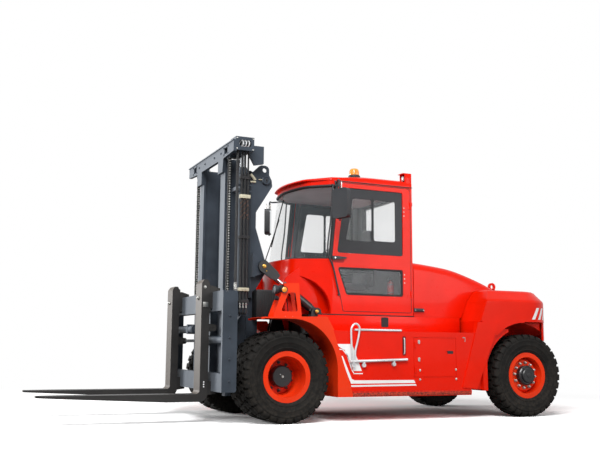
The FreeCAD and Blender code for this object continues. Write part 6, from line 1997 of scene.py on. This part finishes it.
@dataclass
class Hood:
    """The engine hood as one pressed shell that falls away to its hinges."""

    half: float = 0.738
    low: float = 1.306
    shelf: float = 1.575
    gap: float = 0.012
    rear: float = -3.600
    wall: float = 0.030
    drop: float = 0.070
    corner: float = 0.130
    belly: float = 1.6
    knots: tuple[Point, ...] = ((-2.034, 2.112), (-2.300, 2.088), (-2.670, 2.038), (-3.000, 1.944),
                                (-3.300, 1.832), (-3.600, 1.690))
    hinge: tuple[float, float, float] = (-3.616, 0.430, 1.590)

    def section(self, top: float, foot: float, inset: float) -> list[Vector]:
        """Half a cross-section, from the foot of the left side to the crown.

        Args:
            top: height of the outer skin's crown.
            foot: height of the lower edge.
            inset: distance inside the outer skin.

        Returns:
            Its points, each a place across the hood and a height.
        """
        half, top = self.half - inset, top - inset
        middle = foot + (top - self.drop - self.corner - foot) / 2
        line = [Vector((half, foot)), Vector((half, middle))]
        corner = self.corner - inset
        line += curve(Vector((half, top - self.drop - corner)), Vector((half, top - self.drop)),
                      Vector((half - corner, top - self.drop * (1 - corner / half))), 8)
        start = line[-1]
        for k in range(1, 8):
            share = k / 7
            rise = (top - start.y) * (1 - (1 - share) ** self.belly)
            line.append(Vector((start.x * (1 - share), start.y + rise)))
        return line

    def foot(self, x: float) -> float:
        """Height of the shell's lower edge, which climbs the counterweight's leaning face."""
        climb = Casting.seam + (Casting.front - x) / Casting.lean + self.gap
        return min(self.shelf, max(self.low, climb))

    def build(self) -> None:
        """Builds the shell with its knuckles."""
        crown = smooth([Vector((x, z, 0)) for x, z in self.knots], 6)
        part = bmesh.new()
        skins = []
        for inset in (0.0, self.wall):
            rings = []
            for spot in crown:
                x = spot.x + (inset if spot.x < self.rear + self.wall else 0.0)
                half = self.section(spot.y, self.foot(spot.x), inset)
                line = half + [Vector((-p.x, p.y)) for p in reversed(half[:-1])]
                rings.append([part.verts.new(at(x, p.x, p.y)) for p in line])
            skins.append(rings)
            stitch(part, rings, False)
        outer, inner = skins
        for edge in (0, -1):
            stitch(part, [[ring[edge] for ring in skin] for skin in skins], False)
        stitch(part, (outer[0], inner[0]), False)
        part.faces.new(outer[-1])
        part.faces.new(inner[-1])
        part.faces.new((outer[-1][0], inner[-1][0], inner[-1][-1], outer[-1][-1]))
        form = Form().take(part)
        x, y, z = self.hinge
        for side in SIDES.values():
            form.rod(at(x, side * y, z), at(x, side * (y + 0.04), z), 0.014)
            form.slab(side, (x, self.rear + 0.002), (y, y + 0.04), (z - 0.010, z + 0.014), 0.0)
        form.piece("hood_shell", RED, "engine_hood", ["hood"], 40)


@dataclass
class Stripes:
    """White swoosh on both side boxes and slanted bars round the counterweight's corners."""

    flank: float = 1.2005
    lift: float = 0.0012
    clear: float = 0.012
    slope: float = 0.115
    leg_top: float = 0.94
    rear_part: float = -1.2
    rear_share: float = 0.6
    fill: tuple[Point, ...] = (
        (-0.630, 0.936), (-0.842, 0.938), (-0.940, 0.611), (-0.827, 0.612), (-0.773, 0.744),
        (-0.732, 0.864), (-0.664, 0.900))
    thick: tuple[Point, ...] = (
        (-0.664, 0.792), (-0.698, 0.792), (-0.790, 0.516), (-0.827, 0.500), (-1.690, 0.497),
        (-1.709, 0.460), (-0.773, 0.459))
    thin: tuple[Point, ...] = (
        (-0.773, 0.441), (-1.713, 0.447), (-1.722, 0.427), (-0.773, 0.421))
    line: tuple[Point, ...] = (
        (-0.637, 0.872), (-0.705, 0.872), (-0.759, 0.804), (-0.800, 0.636), (-0.827, 0.580),
        (-0.944, 0.580))
    corner: tuple[float, float, float] = (-3.60, 0.71, 0.49)
    bars: int = 3
    bar_start: float = 0.025
    bar_pitch: float = 0.125
    bar_wide: float = 0.0600
    bar_lean: float = 0.100
    bar_low: float = 1.296
    bar_high: float = 1.456

    def beside(self, x: float, z: float) -> Point:
        """A point of the stripes moved back so that they run beside the fender's sloping leg."""
        share = 1.0 if x > self.rear_part else self.rear_share
        return x - self.clear - (self.leg_top - z) * self.slope * share, z

    def swoosh(self, form: Form, side: int) -> None:
        """Adds the shapes on one side box.

        Args:
            form: the form that takes them.
            side: 1 for the left, -1 for the right.
        """
        start, end = side * self.flank, side * (self.flank + self.lift)
        for shape in (self.fill, self.thick, self.thin):
            form.plate(ahead([self.beside(x, z) for x, z in shape]), "y", start, end)
        line = [self.beside(x, z) for x, z in self.line]
        for (x, z), (x2, z2) in zip(line, line[1:]):
            along = Vector((x2 - x, z2 - z)).normalized() * 0.004
            across = Vector((-along.y, along.x)).normalized() * 0.006
            first, last = Vector((x, z)) - along, Vector((x2, z2)) + along
            spots = [first + across, last + across, last - across, first - across]
            form.plate(ahead(spots), "y", start, end)

    def round_corner(self, reach: float, side: int) -> Vector:
        """Place on the counterweight's outline that far behind the corner's start.

        Args:
            reach: distance along the outline; below 0 it is ahead.
            side: 1 for the left, -1 for the right.

        Returns:
            The place, at a height of 0.
        """
        x, y, radius = self.corner
        if reach < 0:
            return Vector((x - reach, side * (y + radius), 0))
        angle = reach / radius
        return Vector((x - radius * math.sin(angle), side * (y + radius * math.cos(angle)), 0))

    def bars_on(self, form: Form, side: int, surface: Callable[[Vector], Vector]) -> None:
        """Adds the slanted bars round one corner, laid on a surface.

        Args:
            form: the mesh in the making.
            side: +1 for left.
            surface: finds the place on the counterweight nearest to a point.
        """
        columns, levels = 6, 8
        for k in range(self.bars):
            part = bmesh.new()
            rows = []
            for j in range(levels + 1):
                share = j / levels
                z = self.bar_low + (self.bar_high - self.bar_low) * share
                row = []
                for i in range(columns + 1):
                    reach = (self.bar_start + self.bar_pitch * k + self.bar_wide * i / columns
                             + self.bar_lean * share)
                    spot = self.round_corner(reach, side)
                    row.append(part.verts.new(surface(at(spot.x, spot.y, z))))
                rows.append(row)
            stitch(part, rows, False)
            form.take(part)

    def build(self) -> None:
        """Builds the stripes and bars of both sides."""
        weight = bpy.data.objects["counterweight_casting"]
        tree = BVHTree.FromObject(weight, bpy.context.evaluated_depsgraph_get())

        def surface(spot: Vector) -> Vector:
            """Place on the counterweight nearest to a point, lifted off it a little."""
            near, normal, _, _ = tree.find_nearest(spot)
            return near + normal * self.lift

        for name, side in SIDES.items():
            form = Form()
            self.swoosh(form, side)
            form.piece(f"swoosh_{name}", WHITE, "chassis")
            form = Form()
            self.bars_on(form, side, surface)
            form.piece(f"weight_bars_{name}", WHITE, "chassis")


@dataclass
class Body:
    """Handles, hinges, lamps, rails, bolts and seals of the chassis, boxes and hood."""

    flank: float = 1.2005
    wall: float = 0.7605
    rail: float = 1.222
    loop: tuple[Point, ...] = (
        (-0.842, 0.745), (-0.838, 0.90), (-0.832, 1.09), (-0.850, 1.155), (-0.893, 1.185),
        (-0.934, 1.165), (-0.948, 1.110), (-0.918, 0.960), (-0.890, 0.860), (-0.886, 0.745))
    step: tuple[Point, ...] = ((-0.815, 0.728), (-0.850, 0.728), (-1.625, 0.752))
    tail_face: float = -4.010

    def boxes(self) -> None:
        """Bolts, grip strips, marks and slots of the side boxes, and the latches of the hood."""
        for name, side in SIDES.items():
            bolts = Form()
            for x, z in ((-1.822, 0.617), (-2.366, 0.625), (-1.821, 0.502), (-2.367, 0.505)):
                bolts.bolt(at(x, side * self.flank, z), (0, side, 0), 0.020)
            bolts.piece(f"box_bolts_{name}", STEEL, "chassis")
            strip = Form()
            strip.slab(side, (-0.860, -2.590), (self.flank + 0.0115, self.flank + 0.0150),
                       (0.306, 0.352), 0.001)
            strip.slab(side, (-0.860, -2.590), (self.flank, self.flank + 0.0120), (0.361, 0.3645), 0.0)
            strip.piece(f"grip_strip_{name}", GRIT, "chassis")
            mark = Form()
            mark.plate(ahead([(-2.480, 1.040), (-2.520, 1.040), (-2.520, 0.980), (-2.512, 0.980),
                              (-2.512, 1.030), (-2.480, 1.030)]), "y", side * self.flank,
                       side * (self.flank + 0.003), 0.001)
            mark.piece(f"corner_mark_{name}", STEEL, "chassis")
            vent = Form().plate(rounded(ahead(rectangle(-1.515, 1.292, -1.621, 1.165)), 0.02), "y",
                                side * (self.wall - 0.008), side * (self.wall + 0.006), 0.002)
            vent.piece(f"wall_slot_{name}", SEAL, "chassis")
            wall = Form()
            wall.slab(side, (-0.600, -2.745), (self.wall - 0.004, self.wall + 0.0015), (1.104, 1.306),
                      0.001)
            wall.piece(f"deck_wall_{name}", RED, "chassis")
            latch = Form()
            latch.slab(side, (-2.022, -2.179), (0.751, 0.766), (1.376, 1.424), 0.006)
            latch.slab(side, (-2.060, -2.150), (0.766, 0.776), (1.388, 1.412), 0.004)
            latch.piece(f"hood_latch_{name}", PLASTIC, "chassis")
            stud = Form()
            for x in (-2.040, -2.165):
                stud.lathe([(0.0, 0.004), (0.007, 0.004), (0.009, 0.0)],
                           at(x, side * 0.766, 1.40), (0, side, 0), 16)
            stud.piece(f"hood_latch_studs_{name}", STEEL, "chassis")

    def hatch(self) -> None:
        """Recessed grab handle, hinges and rim of the left side box's door; the recess is painted shade.
        """
        slot = Form()
        slot.plate(rounded(ahead(rectangle(-2.330, 0.8625, -2.242, 0.8255)), 0.012), "y", 1.1985,
                   1.2015, 0.001)
        slot.piece("hatch_latch", SEAL, "compartment_door")
        cup = Form()
        # The recess is painted shade: a darker red rim round a dark sheet, both laid on the door's face.
        outer = rectangle(-1.566, 1.045, -1.622, 0.796)
        inner = rectangle(-1.577, 1.032, -1.611, 0.809)
        cup.band(rounded(ahead(outer), 0.028),
                 rounded(ahead(inner), 0.017), "y", 1.2003, 1.2030)
        cup.piece("grab_recess_shade_rim", RECESS_SHADE_RED, "compartment_door")
        # A dark sheet on the recess's floor: painted shade of its depth.
        well = Form().plate(rounded(ahead(inner), 0.017), "y", 1.2003, 1.2015)
        well.piece("grab_recess_shade_well", SEAL, "compartment_door", slot="")
        bar = Form()
        bar.sweep(trail(1, (-1.594, 1.202, 0.822), (-1.594, 1.212, 0.836), (-1.594, 1.214, 0.86),
                        (-1.594, 1.214, 0.98), (-1.594, 1.212, 1.004),
                        (-1.594, 1.202, 1.018)), 0.0075, 12)
        bar.piece("grab_bar", SILVER, "compartment_door")
        hinge = Form()
        for z in (0.752, 0.972):
            hinge.slab(1, (-1.796, -1.828), (1.2005, 1.2055), (z - 0.022, z + 0.022), 0.002)
            hinge.rod(at(-1.812, 1.207, z - 0.026), at(-1.812, 1.207, z + 0.026), 0.006, sides=14)
            for dz in (-0.012, 0.012):
                hinge.lathe([(0.0, 0.003), (0.004, 0.003), (0.005, 0.0)], at(-1.802, 1.2055, z + dz),
                            (0, 1, 0), 10)
        hinge.piece("hatch_hinges", STEEL, "compartment_door")

    def lamps(self) -> None:
        """Builds the lamps of both sides."""
        for name, side in SIDES.items():
            self.front_lamps(name, side)
            self.tail_lamp(name, side)
            self.bracket(name, side)

    def front_lamps(self, name: str, side: int) -> None:
        """Shells, bezels and lenses of one headlamp, its side lamp and the horn below them.

        Args:
            name: left or right.
            side: 1 for the left, -1 for the right.
        """
        head, corner = at(0.086, side * 0.99, 1.585), at(0.004, side * 1.088, 1.582)
        shell = Form()
        shell.lathe([(0.0, -0.078), (0.030, -0.074), (0.048, -0.050), (0.056, -0.014),
                     (0.056, 0.004)], head, (1, 0, 0), 40)
        shell.rod(at(0.004, side * 1.045, 1.582), corner, 0.038,
                  sides=28, edge=0.003)
        shell.slab(side, (-0.030, 0.030), (0.982, 0.998), (1.550, 1.645), 0.002)
        shell.lathe([(0.0, -0.05), (0.022, -0.045), (0.030, -0.010), (0.030, 0.0), (0.0, 0.006)],
                    at(0.080, side * 0.985, 1.488), (1.0, 0, 0.35), 28)
        shell.piece(f"headlamp_shell_{name}", PLASTIC, "chassis")
        bezel = Form()
        bezel.lathe([(0.050, -0.012), (0.059, -0.010), (0.060, 0.010), (0.055, 0.016),
                     (0.050, 0.010)], head, (1, 0, 0), 40, closed=True)
        bezel.lathe([(0.033, -0.008), (0.040, -0.006), (0.040, 0.008), (0.033, 0.006)],
                    corner, (0, side, 0), 28, closed=True)
        bezel.piece(f"headlamp_bezel_{name}", PLASTIC, "chassis")
        lens = Form().lathe([(0.0, 0.020), (0.020, 0.0185), (0.038, 0.014), (0.050, 0.006)],
                            head, (1, 0, 0), 40)
        lens.piece(f"headlamp_lens_{name}", CLEAR, "chassis")
        amber = Form().lathe([(0.0, 0.018), (0.018, 0.015), (0.034, 0.002)],
                             corner, (0, side, 0), 28)
        amber.piece(f"side_lamp_lens_{name}", AMBER, "chassis")

    def tail_lamp(self, name: str, side: int) -> None:
        """Lens and rim of one tail lamp.

        Args:
            name: left or right.
            side: 1 for the left, -1 for the right.
        """
        tail = Form()
        outline = rounded(rectangle(side * 0.705, 1.345, side * 0.875, 1.415), 0.014)
        tail.plate(outline, "x", AXLE_X + self.tail_face - 0.0125, AXLE_X + self.tail_face, 0.004)
        tail.piece(f"tail_lens_{name}", RED_LENS, "chassis")
        rim = Form()
        outer = rounded(rectangle(side * 0.692, 1.332, side * 0.888, 1.428), 0.018)
        rim.band(outer, outline, "x", AXLE_X + self.tail_face - 0.009, AXLE_X + self.tail_face)
        rim.piece(f"tail_lamp_rim_{name}", PLASTIC, "chassis")

    def bracket(self, name: str, side: int) -> None:
        """The lamps' wire, and the nuts of their bracket.

        Args:
            name: left or right.
            side: 1 for the left, -1 for the right.
        """
        wire = Form().sweep(trail(side, (-0.02, 0.985, 1.545), (-0.08, 0.960, 1.47),
                                  (-0.11, 0.925, 1.38), (-0.13, 0.905, 1.27)), 0.006, 8)
        wire.piece(f"lamp_wire_{name}", SEAL, "chassis", slot="hose_rubber")
        nuts = Form()
        for x in (-0.115, -0.020):
            nuts.bolt(at(x, side * 1.065, 1.255), (0, 0, 1), 0.016)
        nuts.piece(f"lamp_bracket_nuts_{name}", STEEL, "chassis")

    def rails(self) -> None:
        """Handrail loop, step bar on its hangers and tread bar of each access step."""
        for name, side in SIDES.items():
            y = side * self.rail
            form = Form().sweep(smooth([at(x, y, z) for x, z in self.loop]), 0.0125, 14)
            form.sweep([at(x, y, z) for x, z in self.step], 0.0165, 16)
            for x in (-0.865, -1.010, -1.434):
                z = 0.728 + (-0.850 - x) * 0.031
                form.slab(side, (x - 0.012, x + 0.012), (1.2005, 1.232), (z - 0.058, z + 0.004), 0.003)
                form.lathe([(0.0, 0.028), (0.024, 0.028), (0.026, 0.022), (0.026, 0.0)],
                           at(x, side * 1.204, z - 0.052), (0, side, 0), 20)
            form.slab(side, (-1.56, -0.89), (1.170, 1.214), (1.1005, 1.124), 0.008)
            for k in range(15):
                x = -0.925 - 0.043 * k
                form.slab(side, (x, x - 0.022), (1.176, 1.208), (1.123, 1.1270), 0.0012)
            form.piece(f"access_step_{name}", SILVER, "chassis", ["step_rails"] if side > 0 else [])

    def weight(self) -> None:
        """Jacking bolts of the counterweight."""
        bolts = Form()
        for side in SIDES.values():
            bolts.bolt(at(-3.95, side * 0.35, 1.545), (0, 0, 1), 0.040)
        bolts.piece("weight_bolts", STEEL, "chassis")

    def hood(self) -> None:
        """Seals under the hood."""
        seal = Form()
        for side in SIDES.values():
            seal.slab(side, (-2.08, -3.30), (0.560, 0.572), (1.436, 1.446), 0.003)
        seal.piece("hood_seal", SEAL, "chassis")

    def build(self) -> None:
        """Builds all of the body's dress."""
        self.boxes()
        self.hatch()
        self.lamps()
        self.rails()
        self.weight()
        self.hood()


# ------------------------------------------------------------------------------- studio


@dataclass
class Studio:
    """White floor, pale surround, soft lights and camera.

    The floor is lit up to near and plain white from far on; floor_bounce is what it throws back
    at the object, and fill, mirrored and white are the surround's strengths.
    """

    floor_half: float = 60.0
    floor_gain: float = 1.75
    floor_bounce: float = 0.42
    near: float = 5.0
    far: float = 9.0
    white: float = 1.0
    mirrored: float = 0.9
    fill: float = 0.22
    eye: Point = (4.5565, 10.283, 0.868)
    yaw: float = 0.417
    pitch: float = 0.1496
    roll: float = 0.0075
    focal_length: float = 49.51
    sensor: float = 36.0

    def floor(self) -> None:
        """A white floor that keeps the object's shadow and is plain white far away."""
        sheet = NodeSheet("studio_floor")
        near = sheet.node("ShaderNodeBsdfDiffuse", {}, {"Color": (*[self.floor_gain] * 3, 1.0)})
        far = sheet.node("ShaderNodeEmission", {}, {"Color": (1.0, 1.0, 1.0, 1.0),
                                                    "Strength": self.white})
        lit = sheet.node("ShaderNodeBsdfDiffuse", {}, {"Color": (*[self.floor_bounce] * 3, 1.0)})
        place = sheet.node("ShaderNodeTexCoord", output="Object")
        reach = sheet.node("ShaderNodeVectorMath", {"operation": "LENGTH"}, {0: place}, "Value")
        seen = sheet.node("ShaderNodeMixShader", {},
                          {0: reach.step(self.near, self.far), 1: near, 2: far})
        camera = sheet.node("ShaderNodeLightPath", output="Is Camera Ray")
        mesh = bpy.data.meshes.new("studio_floor")
        a = self.floor_half
        mesh.from_pydata([(-a, -a, 0), (a, -a, 0), (a, a, 0), (-a, a, 0)], [], [(0, 1, 2, 3)])
        mesh.materials.append(sheet.close(sheet.node("ShaderNodeMixShader", {},
                                                     {0: camera, 1: lit, 2: seen})))
        ground = bpy.data.objects.new("studio_floor", mesh)
        bpy.context.scene.collection.objects.link(ground)

    def sky(self) -> None:
        """A white surround for the camera and for reflections, and a weaker one that lights."""
        world = bpy.data.worlds.new("studio")
        world.use_nodes = True
        tree = world.node_tree
        tree.nodes.clear()
        path = tree.nodes.new("ShaderNodeLightPath")
        strength = None
        for ray, value in (("Is Glossy Ray", self.mirrored), ("Is Transmission Ray", self.white),
                           ("Is Camera Ray", self.white)):
            mix = tree.nodes.new("ShaderNodeMix")
            tree.links.new(path.outputs[ray], mix.inputs[0])
            mix.inputs[2].default_value = self.fill
            mix.inputs[3].default_value = value
            if strength:
                tree.links.new(strength, mix.inputs[2])
            strength = mix.outputs[0]
        light = tree.nodes.new("ShaderNodeBackground")
        light.inputs["Color"].default_value = (1.0, 1.0, 1.0, 1.0)
        tree.links.new(strength, light.inputs["Strength"])
        output = tree.nodes.new("ShaderNodeOutputWorld")
        tree.links.new(light.outputs[0], output.inputs["Surface"])
        bpy.context.scene.world = world

    def lamp(self, name: str, place: Point, aim: Point, size: float, power: float) -> None:
        """Adds a square soft light.

        Args:
            name: its name.
            place: where it is.
            aim: what it points at.
            size: its side.
            power: its power in watts.
        """
        light = bpy.data.lights.new(name, "AREA")
        light.shape = "SQUARE"
        light.size = size
        light.energy = power
        lamp = bpy.data.objects.new(name, light)
        lamp.location = place
        lamp.rotation_euler = (Vector(aim) - Vector(place)).to_track_quat("-Z", "Y").to_euler()
        bpy.context.scene.collection.objects.link(lamp)

    def camera(self) -> None:
        """The camera, low and off the front left corner, as fitted to the view."""
        flat = math.cos(self.pitch)
        aim = Vector((-math.sin(self.yaw) * flat, -math.cos(self.yaw) * flat, math.sin(self.pitch)))
        right = aim.cross(Vector((0, 0, 1))).normalized()
        up = right.cross(aim)
        across = right * math.cos(self.roll) + up * math.sin(self.roll)
        above = up * math.cos(self.roll) - right * math.sin(self.roll)
        lens = bpy.data.cameras.new("camera")
        lens.lens = self.focal_length
        lens.sensor_width = self.sensor
        lens.clip_end = 200.0
        camera = bpy.data.objects.new("camera", lens)
        turn = Matrix((across, above, -aim)).transposed().to_4x4()
        camera.matrix_world = Matrix.Translation(self.eye) @ turn
        bpy.context.scene.collection.objects.link(camera)
        bpy.context.scene.camera = camera

    def build(self) -> None:
        """Builds the stage, and sets the plain view transform."""
        self.floor()
        self.sky()
        self.lamp("key", (4.0, 7.5, 9.0), (0, 0, 1.2), 6.0, 1300.0)
        self.lamp("front", (11.0, -9.5, 3.5), (1.0, 0, 1.8), 5.0, 1500.0)
        self.lamp("side", (-6.0, 9.0, 4.0), (-1.5, 0, 1.5), 4.0, 200.0)
        self.camera()
        bpy.context.scene.view_settings.view_transform = "Standard"


def dress_frame() -> None:
    """Gives the CAD nodes their finishes."""
    for finish, names in NODE_FINISH.items():
        for name in names.split():
            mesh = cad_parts[name].data
            for slot in range(len(mesh.materials)):
                mesh.materials[slot] = finish.material()
            if not mesh.materials:
                mesh.materials.append(finish.material())


def main() -> None:
    """Builds the finished forklift and its studio."""
    logging.basicConfig(level=logging.INFO, format="%(message)s")
    dress_frame()
    for part in (Wheels(), MastDress(), CarriageDress(), Cab(), Interior(), Fenders(), Casting(),
                 Hood(), Stripes(), Body(), Studio()):
        part.build()


if __name__ == "__main__":
    main()
